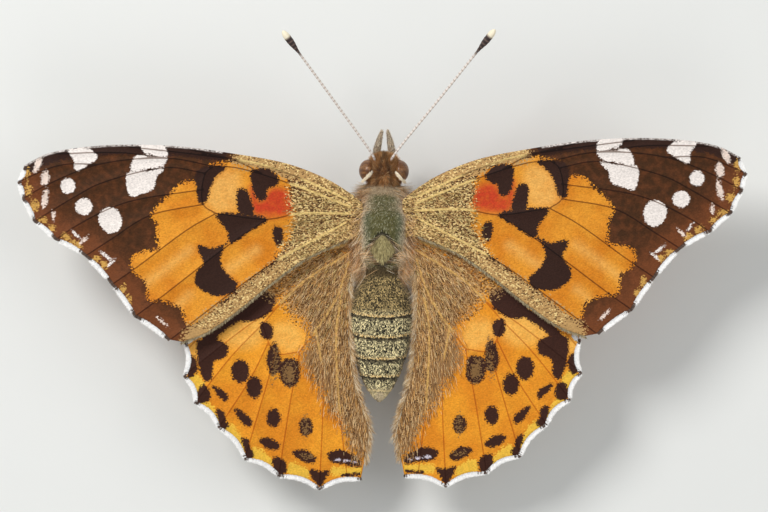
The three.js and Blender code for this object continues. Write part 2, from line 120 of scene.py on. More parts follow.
def chosen(rng: np.random.Generator, tones: Sequence[Colour], count: int) -> np.ndarray:
    """Draws one of several colours for each tuft."""
    return np.asarray(tones)[rng.integers(0, len(tones), count)]


# Curves and signed depths


def unit(vectors: np.ndarray) -> np.ndarray:
    """Vectors brought to length one."""
    return vectors / np.maximum(np.linalg.norm(vectors, axis=1), TINY)[:, None]


def full_turn(count: int) -> np.ndarray:
    """Even angles around a full turn."""
    return np.linspace(0.0, 2 * math.pi, count, endpoint=False)


def travelled_along(path: np.ndarray) -> np.ndarray:
    """How far along a path each of its points is."""
    return np.concatenate([[0.0], np.cumsum(np.linalg.norm(np.diff(path, axis=0), axis=1))])


def places_at(path: np.ndarray, distances: np.ndarray) -> np.ndarray:
    """The places at some distances along a path."""
    travelled = travelled_along(path)
    return np.column_stack([np.interp(distances, travelled, axis) for axis in path.T])


def smooth_path(knots: Knots, step: float, closed: bool = False) -> np.ndarray:
    """Samples a centripetal spline through points at an even step.

    Args:
        knots: The points, in any number of dimensions.
        step: The wanted spacing.
        closed: Whether the curve returns to its first point.

    Returns:
        The samples, one row each.
    """
    points = np.asarray(knots, dtype=float)
    if closed:
        padded = np.vstack([points[-1], points, points[0], points[1]])
    else:
        padded = np.vstack([2 * points[0] - points[1], points, 2 * points[-1] - points[-2]])
    spans = []
    for quad in zip(padded, padded[1:], padded[2:], padded[3:]):
        gaps = [max(1e-6, float(np.linalg.norm(b - a))) ** 0.5 for a, b in zip(quad, quad[1:])]
        t = np.concatenate([[0.0], np.cumsum(gaps)])
        s = np.linspace(t[1], t[2], SPAN_STEPS, endpoint=False)[:, None]
        a = [((t[k + 1] - s) * quad[k] + (s - t[k]) * quad[k + 1]) / (t[k + 1] - t[k]) for k in range(3)]
        b = [((t[k + 2] - s) * a[k] + (s - t[k]) * a[k + 1]) / (t[k + 2] - t[k]) for k in range(2)]
        spans.append(((t[2] - s) * b[0] + (s - t[1]) * b[1]) / (t[2] - t[1]))
    dense = np.vstack([*spans, padded[-2][None]])
    length = travelled_along(dense)[-1]
    samples = places_at(dense, np.linspace(0.0, length, max(2, round(length / step) + 1)))
    return samples[:-1] if closed else samples


def path_distance(places: np.ndarray, path: np.ndarray, closed: bool = False) -> np.ndarray:
    """Distance from each place to a polyline, which may be a loop.

    Args:
        places: Flat places, one row each.
        path: The polyline's points.
        closed: Whether it is a loop.

    Returns:
        One distance for each place.
    """
    best = np.full(len(places), np.inf)
    ends = np.roll(path, -1, axis=0) if closed else path[1:]
    for start, end in zip(path, ends):
        run = end - start
        along = np.clip((places - start) @ run / max(float(run @ run), 1e-12), 0.0, 1.0)
        best = np.minimum(best, np.linalg.norm(places - start - along[:, None] * run, axis=1))
    return best


def inside_loop(places: np.ndarray, loop: np.ndarray) -> np.ndarray:
    """Whether each place lies inside a closed outline.

    Args:
        places: Flat places, one row each.
        loop: The outline's points.

    Returns:
        One truth value for each place.
    """
    inside = np.zeros(len(places), dtype=bool)
    x, y = places.T
    for start, end in zip(loop, np.roll(loop, -1, axis=0)):
        if start[1] == end[1]:
            continue
        crosses = (start[1] > y) != (end[1] > y)
        at = (end[0] - start[0]) * (y - start[1]) / (end[1] - start[1]) + start[0]
        inside ^= crosses & (x < at)
    return inside


@dataclass(frozen=True)
class Patch:
    """A filled patch of the wing pattern with a rounded outline."""

    outline: Knots

    def depth(self, places: np.ndarray) -> np.ndarray:
        """Millimetres inside the patch, negative outside it.

        Args:
            places: Flat places on the wing plan.

        Returns:
            One depth for each place.
        """
        loop = smooth_path(self.outline, OUTLINE_STEP, closed=True)
        distance = path_distance(places, loop, closed=True)
        return np.where(inside_loop(places, loop), distance, -distance)


@dataclass(frozen=True)
class Spot:
    """An oval spot of the wing pattern."""

    centre: tuple[float, float]
    radii: tuple[float, float]
    turn: float = 0.0

    def depth(self, places: np.ndarray) -> np.ndarray:
        """Millimetres inside the spot, negative outside it.

        Args:
            places: Flat places on the wing plan.

        Returns:
            One depth for each place.
        """
        angle = math.radians(self.turn)
        across, forward = (places - np.asarray(self.centre)).T
        turned = np.column_stack([
            across * math.cos(angle) + forward * math.sin(angle),
            forward * math.cos(angle) - across * math.sin(angle),
        ])
        return (1.0 - np.linalg.norm(turned / np.asarray(self.radii), axis=1)) * min(self.radii)


@dataclass(frozen=True)
class Streak:
    """A narrow band of the wing pattern along a line."""

    line: Knots
    half_width: float

    def depth(self, places: np.ndarray) -> np.ndarray:
        """Millimetres inside the band, negative outside it."""
        return self.half_width - path_distance(places, smooth_path(self.line, 0.3))


Mark = Patch | Spot | Streak
Marks = tuple[Mark, ...]


def deepest(marks: Iterable[Mark], places: np.ndarray) -> np.ndarray:
    """The largest depth over several marks, or far outside where there is none.

    Args:
        marks: The marks.
        places: Flat places on the wing plan.

    Returns:
        One depth for each place.
    """
    best = np.full(len(places), -FAR)
    for mark in marks:
        best = np.maximum(best, mark.depth(places))
    return best


def layer_depth(marks: Iterable[Mark], places: np.ndarray) -> np.ndarray:
    """The depth of one layer of the pattern, within the range that the shader needs."""
    return np.clip(deepest(marks, places), -DEPTH_LIMIT, DEPTH_LIMIT)


# Wing plans

HINGE_REACH = 3.0
WING_LENGTH = 29.0
WING_RISE = 0.03
WING_ARCH = 0.6
DROOP_START = -4.0
SWEEP_FORWARD = 4.0
INNER_END = 1.7
ROOT_SLOPE = 0.7
FRINGE_ROOT = 0.24
COSTA_START = 12.4
LAYERS = ("field", "dark", "white", "amber", "red", "pale", "tan", "faint")


@dataclass(frozen=True)
class Placement:
    """How far one wing of the resting animal is turned and moved from the plan."""

    sweep: float
    shift: tuple[float, float]


@dataclass(frozen=True)
class WingPlan:
    """Outline, veins and pattern of one wing, as [distance from the axis, distance forward]."""

    pair: str
    leading: Knots
    ends: Knots
    trailing: Knots
    veins: tuple[Knots, ...]
    scallop: float
    root_z: float
    tilt: float
    droop: float
    lift: float
    white_span: float
    fringe_start: tuple[float, float]
    field: Marks
    dark: Marks
    white: Marks
    amber: Marks
    pale: Marks
    wool: Marks
    tan: Marks
    faint: Marks
    placements: dict[Side, Placement]
    red: Marks = ()
    eyespots: Marks = ()

    def height(self, places: np.ndarray) -> np.ndarray:
        """Height of the membrane's middle, the same rule as the construction model's wings.

        Args:
            places: Flat places on the wing plan.

        Returns:
            One height for each place.
        """
        reach, forward = places.T
        share = np.clip((reach - HINGE_REACH) / WING_LENGTH, 0.0, 1.0)
        shared = WING_RISE * (reach - HINGE_REACH) + WING_ARCH * np.sin(share * math.pi)
        curl = self.droop * np.maximum(0.0, DROOP_START - forward) ** 2
        return self.root_z + self.lift + shared + self.tilt * forward - curl

    def scallops(self, with_start: bool = False) -> tuple[np.ndarray, np.ndarray]:
        """The membrane's margin in shallow bays between the vein ends, inside the fringe's tips.

        Args:
            with_start: Whether the bay before the first vein end is there too.

        Returns:
            The points, and for each the share of its bay that lies behind it.
        """
        points, shares = [], []
        knots = np.asarray(((self.fringe_start,) if with_start else ()) + tuple(self.ends))
        for start, end in zip(knots, knots[1:]):
            run = end - start
            length = float(np.linalg.norm(run))
            inward = np.array([run[1], -run[0]]) / length
            for share in np.linspace(0.0, 1.0, max(8, round(length / 0.14)), endpoint=False):
                bay = self.scallop * math.sin(math.pi * share) + FRINGE_ROOT
                points.append(start + run * share + inward * bay)
                shares.append(share)
        points.append(np.asarray(self.ends[-1]) + inward * FRINGE_ROOT)
        shares.append(1.0)
        return np.asarray(points), np.asarray(shares)

    def outline(self) -> np.ndarray:
        """The membrane's closed outline, without its fringe.

        Returns:
            Its points in order.
        """
        leading = smooth_path(self.leading, OUTLINE_STEP)
        trailing = smooth_path(self.trailing, OUTLINE_STEP)
        margin, _ = self.scallops()
        first = np.array([[INNER_END, leading[0][1] - ROOT_SLOPE]])
        last = np.array([[INNER_END, trailing[-1][1]]])
        return np.vstack([first, leading[:-1], margin, trailing[1:], last])

    def limits(self) -> tuple[np.ndarray, np.ndarray]:
        """The lowest and the highest corner of the outline's box."""
        outline = self.outline()
        return outline.min(axis=0), outline.max(axis=0)

    def bake_place(self, places: np.ndarray) -> np.ndarray:
        """Where places of the plan are on the bake map."""
        low, high = self.limits()
        return on_bake_map((places - low) / (high - low))


FOREWING = WingPlan(
    pair="forewing",
    leading=((2.5, 5.7), (4.6, 7.0), (8.1, 8.4), (12.8, 9.3), (18.4, 10.0), (24.8, 10.0), (29.2, 9.3),
             (31.4, 8.2)),
    ends=((31.9, 6.8), (31.5, 5.3), (30.5, 3.3), (28.6, 1.7), (26.0, 0.3), (23.7, -2.2), (21.7, -5.0),
          (18.7, -7.1)),
    trailing=((17.5, -7.2), (15.4, -6.4), (12.5, -4.4), (9.4, -1.85), (6.4, 0.25), (3.0, 1.8)),
    veins=(
        ((3.0, 5.3), (7.2, 7.2), (10.7, 8.4), (13.7, 9.0), (16.8, 9.7)),
        ((2.8, 4.7), (8.0, 6.7), (12.8, 8.1), (14.7, 8.2)),
        ((10.5, 7.6), (12.8, 8.7), (15.9, 9.2), (22.0, 9.9)),
        ((18.5, 8.9), (22.9, 9.4), (28.4, 9.3)),
        ((24.6, 8.4), (28.1, 8.3), (31.9, 6.8)),
        ((14.7, 8.2), (18.5, 8.9), (24.6, 8.4), (29.0, 6.7), (31.5, 5.3)),
        ((15.4, 7.6), (18.7, 8.1), (24.6, 6.7), (26.7, 5.6), (30.5, 3.3)),
        ((15.6, 6.2), (22.5, 5.0), (26.7, 3.0), (28.6, 1.7)),
        ((15.6, 4.9), (20.3, 3.9), (23.7, 1.8), (26.0, 0.3)),
        ((2.8, 4.1), (7.2, 4.1), (10.0, 3.6), (14.5, 4.1)),
        ((14.5, 4.1), (16.8, 2.8), (21.4, -0.6), (23.7, -2.2)),
        ((10.0, 3.6), (13.3, 1.4), (19.4, -3.3), (21.7, -5.0)),
        ((3.2, 3.3), (9.8, -0.4), (15.5, -4.6), (18.7, -7.1)),
        ((14.7, 8.2), (15.4, 7.6), (15.6, 4.9), (14.5, 4.1)),
    ),
    scallop=0.15,
    root_z=8.27,
    tilt=0.02,
    droop=0.0,
    lift=-0.14,
    white_span=0.31,
    field=(
        Patch(((16.0, 7.0), (17.7, 6.7), (18.4, 5.8), (19.4, 5.0), (19.8, 4.4), (20.1, 3.9), (19.7, 3.1),
               (19.6, 1.8), (19.5, 1.0), (20.7, 0.8), (21.7, 0.4), (21.9, -0.3), (21.7, -1.0), (20.6, -2.0),
               (20.3, -3.5), (19.4, -3.5), (18.1, -3.9), (17.4, -4.4), (17.0, -5.7), (15.8, -5.4),
               (14.6, -4.3), (13.5, -3.3), (11.9, -2.1), (10.3, -0.8), (8.8, 0.6), (7.9, 2.1), (7.5, 4.0),
               (7.9, 5.7), (8.2, 7.0), (10.1, 8.2), (12.4, 8.6), (14.0, 8.5), (15.4, 8.1))),
    ),
    dark=(
        Patch(((16.1, 7.9), (13.5, 8.2), (14.1, 7.6), (14.6, 7.1), (15.0, 6.2), (15.3, 5.2), (15.9, 4.9),
               (16.2, 6.2))),
        Patch(((11.4, 7.8), (10.1, 8.0), (9.0, 7.2), (9.1, 6.6), (10.0, 6.2), (10.1, 5.5), (10.6, 5.2),
               (11.1, 5.6), (11.4, 6.6))),
        Patch(((12.5, 6.3), (11.9, 6.2), (11.5, 5.5), (11.2, 3.9), (12.4, 4.1), (12.7, 5.2))),
        Patch(((14.5, 4.0), (12.4, 4.1), (10.0, 3.6), (11.4, 2.6), (13.3, 1.5), (13.5, 2.5))),
        Patch(((16.1, 1.3), (14.6, 1.1), (13.4, 1.6), (13.9, 0.8), (14.1, -0.1), (13.4, -1.3), (12.6, -2.0),
               (13.0, -2.8), (14.5, -3.1), (15.6, -2.7), (16.3, -2.0), (16.3, -1.3), (15.6, -0.1),
               (16.0, 0.7))),
        Patch(((9.4, 3.1), (8.7, 2.7), (8.7, 1.5), (9.1, 1.2), (9.5, 2.0))),
    ),
    white=(
        Patch(((21.0, 10.1), (19.1, 10.1), (18.7, 9.1), (19.8, 9.2), (20.8, 9.5))),
        Patch(((21.5, 9.1), (20.3, 9.1), (18.7, 8.9), (19.1, 8.3), (20.5, 8.0), (21.9, 7.8))),
        Patch(((22.2, 7.6), (20.3, 7.8), (18.9, 8.1), (19.7, 7.2), (19.9, 6.3), (21.0, 5.8), (21.9, 5.6),
               (22.3, 6.6))),
        Patch(((27.4, 9.6), (25.5, 9.7), (24.8, 9.0), (25.5, 8.4), (26.7, 7.8), (26.9, 8.8))),
        Spot((27.4, 6.5), (0.64, 0.66)), Spot((26.0, 4.7), (0.75, 0.72)),
        Patch(((24.6, 3.1), (24.7, 4.0), (24.0, 4.6), (23.2, 4.5), (22.7, 3.6), (23.0, 2.6), (23.9, 2.4))),
        Spot((26.7, 2.25), (0.42, 0.12), 45), Spot((24.1, 0.4), (0.5, 0.13), 40),
        Spot((23.6, -0.2), (0.42, 0.12), -45),
    ),
    amber=(
        Spot((31.0, 7.6), (0.24, 0.42)), Spot((30.8, 6.2), (0.26, 0.5)), Spot((30.3, 4.8), (0.3, 0.42)),
        Spot((29.6, 3.5), (0.36, 0.26)), Spot((28.9, 2.8), (0.36, 0.24)),
        Spot((27.5, 2.0), (0.44, 0.26), 40), Spot((26.6, 1.4), (0.4, 0.26), 40),
        Spot((24.9, 0.1), (0.34, 0.3)), Spot((24.2, -0.4), (0.3, 0.3)), Spot((22.6, -2.5), (0.24, 0.42)),
        Spot((22.1, -3.4), (0.24, 0.34)),
    ),
    faint=(
        Spot((30.0, 8.4), (0.26, 0.7), 25), Spot((29.4, 7.2), (0.36, 0.62), 10),
        Spot((29.4, 5.4), (0.26, 0.75), 10), Spot((28.7, 3.9), (0.16, 0.4)),
        Spot((26.0, 1.8), (0.4, 0.14), -45), Spot((19.2, -5.3), (0.5, 0.12), 45),
    ),
    fringe_start=(31.3, 8.3),
    red=(
        Patch(((11.4, 6.5), (10.5, 5.2), (9.8, 6.2), (8.5, 6.2), (7.8, 5.3), (8.0, 4.2), (10.0, 3.8),
               (11.1, 4.0), (11.5, 5.3))),
    ),
    pale=(
        Patch(((14.9, 6.9), (14.0, 7.7), (12.6, 7.7), (12.4, 6.5), (12.8, 4.6), (14.5, 4.3), (15.3, 5.0))),
        Streak(((16.8, 0.9), (19.4, -1.1), (20.6, -2.0)), 0.25),
        Streak(((16.8, -3.0), (17.7, -3.8)), 0.25),
        Streak(((11.0, 0.9), (13.4, -0.8)), 0.3),
    ),
    wool=(
        Patch(((1.5, 6.2), (8.0, 6.6), (7.9, 4.6), (8.0, 2.4), (9.0, 0.9), (8.0, -1.2), (1.5, 1.2))),
        Streak(((3.0, 2.6), (9.4, -1.2), (15.4, -5.6)), 0.3),
        Streak(((2.5, 5.6), (4.6, 6.8), (8.1, 8.1), (12.2, 9.0)), 0.2),
    ),
    tan=(
        Streak(((2.5, 5.4), (4.6, 6.6), (8.1, 7.9), (12.2, 8.9)), 0.75),
        Streak(((3.0, 2.4), (9.4, -1.4), (15.4, -5.9), (16.4, -6.6)), 0.95),
    ),
    placements={Side.LEFT: Placement(0.0, (0.0, 0.0)), Side.RIGHT: Placement(0.9, (0.1, 0.28))},
)

HINDWING = WingPlan(
    pair="hindwing",
    leading=((2.6, 2.1), (7.2, 1.1), (10.7, -0.7), (13.7, -2.8), (15.9, -4.9), (16.8, -6.2), (17.2, -7.0)),
    ends=((17.4, -7.2), (17.5, -10.2), (16.5, -12.6), (14.4, -14.8), (12.1, -17.6), (9.1, -19.1),
          (5.5, -20.3), (1.8, -19.4)),
    trailing=((1.5, -17.4), (1.2, -15.0), (1.7, -13.1), (2.3, -11.2), (2.8, -7.6), (2.9, -2.6),
              (2.6, -0.5)),
    veins=(
        ((2.8, 1.5), (6.3, 0.4), (10.7, -2.1), (14.2, -4.8), (17.2, -8.0)),
        ((2.8, 0.7), (7.2, -2.1), (10.5, -5.6)),
        ((8.9, -3.8), (12.0, -5.9), (17.5, -10.2)),
        ((10.5, -5.6), (13.1, -8.3), (16.5, -12.6)),
        ((10.0, -7.3), (11.5, -10.3), (14.4, -14.8)),
        ((9.3, -8.1), (10.4, -11.9), (12.1, -17.6)),
        ((2.9, -0.1), (4.1, -3.5), (7.2, -8.0)),
        ((10.5, -5.6), (9.3, -8.1), (7.2, -8.0)),
        ((7.2, -8.0), (8.0, -12.2), (9.1, -19.1)),
        ((5.8, -6.0), (5.2, -10.4), (5.5, -20.3)),
        ((3.6, -3.5), (4.0, -6.1), (3.8, -12.2), (3.0, -19.6)),
    ),
    scallop=0.42,
    root_z=7.04,
    tilt=0.03,
    droop=0.004,
    lift=0.14,
    white_span=0.41,
    field=(
        Spot((9.0, -8.0), (60.0, 60.0)),
    ),
    dark=(
        Patch(((16.1, -7.0), (14.8, -6.8), (13.6, -7.3), (13.6, -8.4), (14.7, -8.9), (14.9, -10.4),
               (15.5, -10.6), (15.9, -9.7), (16.2, -8.3))),
        Patch(((17.1, -8.3), (16.3, -8.5), (16.2, -9.7), (16.8, -10.3), (17.3, -9.4))),
        Patch(((16.0, -11.1), (15.4, -10.9), (15.0, -12.0), (15.5, -12.5), (16.2, -12.4))),
        Patch(((14.9, -11.0), (14.4, -11.1), (13.5, -11.8), (13.6, -12.4), (14.3, -11.9))),
        Patch(((10.5, -5.4), (9.6, -5.7), (9.7, -6.8), (10.3, -6.9), (10.7, -6.2))),
        Patch(((9.4, -7.1), (8.9, -8.3), (9.0, -9.7), (9.6, -10.1), (10.1, -9.2), (10.0, -8.0))),
        Patch(((12.9, -12.9), (12.3, -13.2), (11.4, -14.0), (11.6, -14.6), (12.3, -14.2), (12.8, -13.4))),
        Patch(((10.8, -15.7), (10.0, -15.5), (8.9, -16.3), (9.2, -16.6), (10.1, -16.5))),
        Patch(((7.9, -16.8), (6.8, -16.6), (5.8, -17.3), (6.0, -17.8), (7.2, -17.5))),
        Patch(((4.8, -17.0), (3.7, -16.6), (2.6, -17.0), (1.8, -17.6), (1.9, -18.1), (3.4, -17.9),
               (4.5, -17.7))),
        Patch(((16.5, -12.3), (15.9, -12.5), (16.0, -13.0), (16.6, -12.7))),
        Patch(((14.5, -13.0), (13.8, -13.2), (13.7, -13.9), (13.4, -14.6), (14.2, -14.8), (14.4, -14.0))),
        Patch(((12.3, -15.5), (11.7, -15.7), (11.5, -16.4), (11.2, -17.2), (12.0, -17.6), (12.1, -16.7))),
        Patch(((9.5, -17.2), (8.7, -17.4), (8.3, -18.1), (8.6, -18.8), (9.2, -18.9), (9.6, -18.1))),
        Patch(((6.4, -18.3), (5.5, -18.5), (4.6, -18.5), (5.0, -19.2), (5.4, -20.0), (6.0, -19.3))),
        Patch(((9.0, -9.1), (8.4, -8.6), (7.5, -8.7), (7.2, -9.7), (7.4, -10.8), (8.2, -11.1),
               (8.9, -10.4))),
        Streak(((3.4, -18.9), (1.8, -18.75)), 0.16),
        Streak(((15.6, -7.6), (15.3, -6.9), (13.4, -5.35), (12.0, -4.5)), 0.45),
        Patch(((12.6, -3.5), (11.2, -2.6), (9.4, -3.0), (9.6, -4.3), (10.9, -5.2), (12.4, -5.2))),
        Spot((12.4, -9.7), (0.8, 1.05)), Spot((11.2, -11.1), (0.7, 0.98)), Spot((9.5, -13.8), (0.62, 0.83)),
        Spot((6.7, -14.6), (0.6, 0.85)),
    ),
    white=(
        Spot((3.9, -17.5), (0.3, 0.12)), Spot((3.1, -17.6), (0.25, 0.12)), Spot((2.4, -17.75), (0.16, 0.1)),
    ),
    amber=(
        Patch(((17.0, -9.9), (16.2, -9.9), (15.6, -10.6), (15.6, -11.2), (16.2, -11.6), (16.8, -11.1))),
        Streak(((15.7, -12.7), (15.1, -13.4), (14.7, -14.0)), 0.6),
        Streak(((13.4, -14.9), (12.8, -15.8), (12.5, -16.4)), 0.6),
        Streak(((11.0, -17.0), (10.1, -17.8)), 0.6),
        Streak(((7.8, -18.3), (6.9, -18.8)), 0.6),
        Streak(((4.2, -18.5), (1.9, -18.5)), 0.36),
    ),
    faint=(
        Spot((8.1, -9.9), (0.5, 0.85), -8), Spot((9.4, -8.9), (0.18, 0.8), 5),
        Spot((6.7, -14.6), (0.2, 0.5)),
        Streak(((6.2, -17.1), (7.0, -17.15)), 0.04),
    ),
    fringe_start=(17.0, -6.2),
    pale=(
        Patch(((17.1, -7.1), (16.1, -7.0), (15.9, -7.6), (16.3, -8.3), (17.0, -8.4))),
        Patch(((14.2, -5.2), (12.4, -4.8), (10.5, -5.0), (10.3, -6.6), (11.5, -7.6), (13.3, -7.5),
               (14.3, -6.8))),
        Patch(((9.3, -5.6), (8.1, -5.4), (7.0, -6.3), (7.0, -7.4), (7.9, -8.0), (9.2, -7.4), (9.8, -6.4))),
    ),
    wool=(
        Patch(((1.2, 2.4), (7.5, 1.4), (10.4, -1.2), (10.2, -3.1), (8.9, -3.6), (7.9, -4.9), (6.3, -5.9),
               (5.8, -6.9), (5.0, -9.0), (1.2, -9.0))),
        Streak(((3.6, -9.0), (3.4, -12.0), (2.2, -15.0)), 0.6),
    ),
    tan=(
        Patch(((3.2, 0.5), (7.2, -1.4), (7.8, -3.2), (6.6, -4.7), (6.1, -6.3), (6.8, -8.7), (5.9, -10.3),
               (5.2, -11.4), (4.8, -12.4), (3.6, -13.9), (2.8, -15.7), (2.3, -17.0), (0.8, -17.0),
               (0.8, -15.0), (1.3, -12.2), (2.0, -6.9), (2.0, -0.1))),
    ),
    eyespots=(
        Spot((12.4, -9.7), (0.9, 1.1)), Spot((11.2, -11.1), (0.6, 0.8)), Spot((9.5, -13.8), (0.55, 0.8)),
        Spot((6.7, -14.6), (0.9, 1.1)),
    ),
    placements={Side.LEFT: Placement(0.0, (0.0, 0.0)), Side.RIGHT: Placement(0.0, (0.1, 0.25))},
)


# Node trees

SCALES_PER_MM = (1 / 0.12, 1 / 0.085, 1 / 0.12)


class NodeKit:
    """Adds and links the nodes of one tree."""

    def __init__(self, tree: bpy.types.NodeTree) -> None:
        """Keeps the tree that the nodes go into."""
        self.tree = tree

    def feed(self, socket: Socket, value: object) -> None:
        """Links a socket to an input, or sets the input's own value.

        Args:
            socket: The input.
            value: A socket to link, or a value.
        """
        if isinstance(value, Socket):
            self.tree.links.new(value, socket)
        elif isinstance(value, tuple) and len(value) == 3 and socket.type == "RGBA":
            socket.default_value = (*value, 1.0)
        else:
            socket.default_value = value

    def add(self, kind: str, values: dict[int | str, object] | None = None,
            **settings: object) -> bpy.types.Node:
        """Adds a node.

        Args:
            kind: The node's type name.
            values: Inputs by name or number, each a value or a socket to link.
            **settings: Properties of the node.

        Returns:
            The node.
        """
        node = self.tree.nodes.new(kind)
        for name, setting in settings.items():
            setattr(node, name, setting)
        for key, value in (values or {}).items():
            self.feed(node.inputs[key], value)
        return node

    def math(self, operation: str, first: object, second: object = 0.0) -> Socket:
        """A math node of two inputs, and its result."""
        return self.add("ShaderNodeMath", {0: first, 1: second}, operation=operation).outputs[0]

    def times(self, first: object, second: object) -> Socket:
        """The product of two values."""
        return self.math("MULTIPLY", first, second)

    def line(self, value: object, slope: float, start: object) -> Socket:
        """A value times a slope, plus a start."""
        return self.add("ShaderNodeMath", {0: value, 1: slope, 2: start}, operation="MULTIPLY_ADD").outputs[0]

    def scaled(self, vector: object, factors: tuple[float, float, float]) -> Socket:
        """A vector times three factors."""
        return self.add("ShaderNodeVectorMath", {0: vector, 1: factors}, operation="MULTIPLY").outputs[0]

    def blend(self, share: object, first: object, second: object, mode: str = "MIX") -> Socket:
        """Mixes two colours by a share."""
        node = self.add("ShaderNodeMix", {0: share, 6: first, 7: second}, data_type="RGBA", blend_type=mode)
        return node.outputs[2]

    def shaded(self, colour: object, light: Socket) -> Socket:
        """A colour made darker or lighter by a value."""
        grey = self.add("ShaderNodeCombineColor", {0: light, 1: light, 2: light}).outputs[0]
        return self.blend(1.0, colour, grey, "MULTIPLY")

    def reading(self, name: str, output: str = "Fac") -> Socket:
        """One output of a mesh attribute."""
        return self.add("ShaderNodeAttribute", attribute_name=name).outputs[output]

    def ease(self, value: object, low: float, high: float) -> Socket:
        """Zero below low and one above high, with a soft change between."""
        node = self.add("ShaderNodeMapRange", {0: value, 1: low, 2: high}, interpolation_type="SMOOTHSTEP")
        return node.outputs[0]

    def clouds(self, vector: object, scale: float, detail: float = 3.0) -> Socket:
        """Soft noise between zero and one."""
        return self.add("ShaderNodeTexNoise", {"Vector": vector, "Scale": scale, "Detail": detail}).outputs[0]

    def cells(self, vector: object, scale: float = 1.0) -> bpy.types.Node:
        """Small random cells."""
        return self.add("ShaderNodeTexVoronoi", {"Vector": vector, "Scale": scale})

    def group(self, tree: bpy.types.NodeTree, values: dict[str, object]) -> dict[str, Socket]:
        """Uses a shared group and returns its outputs by name.

        Args:
            tree: The group.
            values: Its inputs by name.

        Returns:
            Its outputs by name.
        """
        node = self.add("ShaderNodeGroup", node_tree=tree)
        for label, value in values.items():
            self.feed(node.inputs[label], value)
        return {output.name: output for output in node.outputs}

    def xyz(self, x: object, y: object, z: object) -> Socket:
        """A vector of three values."""
        return self.add("ShaderNodeCombineXYZ", {0: x, 1: y, 2: z}).outputs[0]

    def named(self, name: str, kind: str = "FLOAT_VECTOR") -> Socket:
        """A named value of a mesh, in a tree that makes shapes."""
        return self.add("GeometryNodeInputNamedAttribute", {"Name": name}, data_type=kind).outputs[0]

    def stored(self, mesh: Socket, name: str, value: Socket, kind: str, domain: str = "POINT") -> Socket:
        """A mesh with a named value stored on it, in a tree that makes shapes.

        Args:
            mesh: The mesh.
            name: The value's name.
            value: What is stored.
            kind: Its type.
            domain: Where it is stored.

        Returns:
            The mesh with it.
        """
        node = self.add("GeometryNodeStoreNamedAttribute", {0: mesh, "Name": name}, data_type=kind,
                        domain=domain)
        self.feed(node.inputs[3], value)
        return node.outputs[0]


class GroupKit(NodeKit):
    """The nodes of a shared group, with its inputs and outputs."""

    def __init__(self, name: str, kind: str, inputs: dict[str, str], outputs: dict[str, str]) -> None:
        """Starts the group.

        Args:
            name: The group's name.
            kind: The tree's type name.
            inputs: The kind of each input, by its name.
            outputs: The kind of each output, by its name.
        """
        super().__init__(bpy.data.node_groups.new(name, kind))
        for direction, sockets in (("INPUT", inputs), ("OUTPUT", outputs)):
            for label, sort in sockets.items():
                self.tree.interface.new_socket(label, in_out=direction, socket_type="NodeSocket" + sort)
        self.given = self.add("NodeGroupInput").outputs
        self.results = self.add("NodeGroupOutput").inputs

    def ended(self, results: dict[str, Socket]) -> bpy.types.NodeTree:
        """Links the results and returns the finished group.

        Args:
            results: Its outputs by name.

        Returns:
            The group.
        """
        for label, value in results.items():
            self.feed(self.results[label], value)
        return self.tree


def scale_rows_group() -> bpy.types.NodeTree:
    """Rows of tiny overlapping scales: a random shade for each scale, and their relief.

    Returns:
        The group.
    """
    kit = GroupKit("Scale rows", "ShaderNodeTree", {"Vector": "Vector"},
                   {"Shade": "Float", "Second shade": "Float", "Height": "Float"})
    cells = kit.cells(kit.scaled(kit.given["Vector"], SCALES_PER_MM))
    shades = kit.add("ShaderNodeSeparateColor", {0: cells.outputs["Color"]}).outputs
    height = kit.math("SUBTRACT", 1.0, cells.outputs["Distance"])
    return kit.ended({"Shade": shades[0], "Second shade": shades[1], "Height": height})


def ragged_edge_group() -> bpy.types.NodeTree:
    """The edge of a patch of scales: it follows whole scales, so it is jagged.

    Returns:
        The group.
    """
    kit = GroupKit("Ragged edge", "ShaderNodeTree", {"Depth": "Float", "Shade": "Float", "Jitter": "Float"},
                   {"Mask": "Float"})
    stray = kit.times(kit.math("SUBTRACT", kit.given["Shade"], 0.5), kit.given["Jitter"])
    return kit.ended({"Mask": kit.ease(kit.math("ADD", kit.given["Depth"], stray), -0.05, 0.05)})


def hair_shade_group() -> bpy.types.NodeTree:
    """Hair colour: darker at the root and lighter at the tip as painted shade among the crowded hairs, with
    fine streaks.

    Returns:
        The group.
    """
    kit = GroupKit("Hair shade", "ShaderNodeTree", {"Tint": "Color", "Along": "Float", "Vector": "Vector"},
                   {"Colour": "Color"})
    depth = kit.ease(kit.given["Along"], -0.3, 0.7)
    streaks = kit.clouds(kit.given["Vector"], 6.0, 2.0)
    # Painted shade: the tint goes from 0.62 at the root to 1.07 at the tip, standing for the shade among the
    # hairs.
    light = kit.times(kit.line(depth, 0.45, 0.62), kit.line(streaks, 0.4, 0.8))
    return kit.ended({"Colour": kit.shaded(kit.given["Tint"], light)})


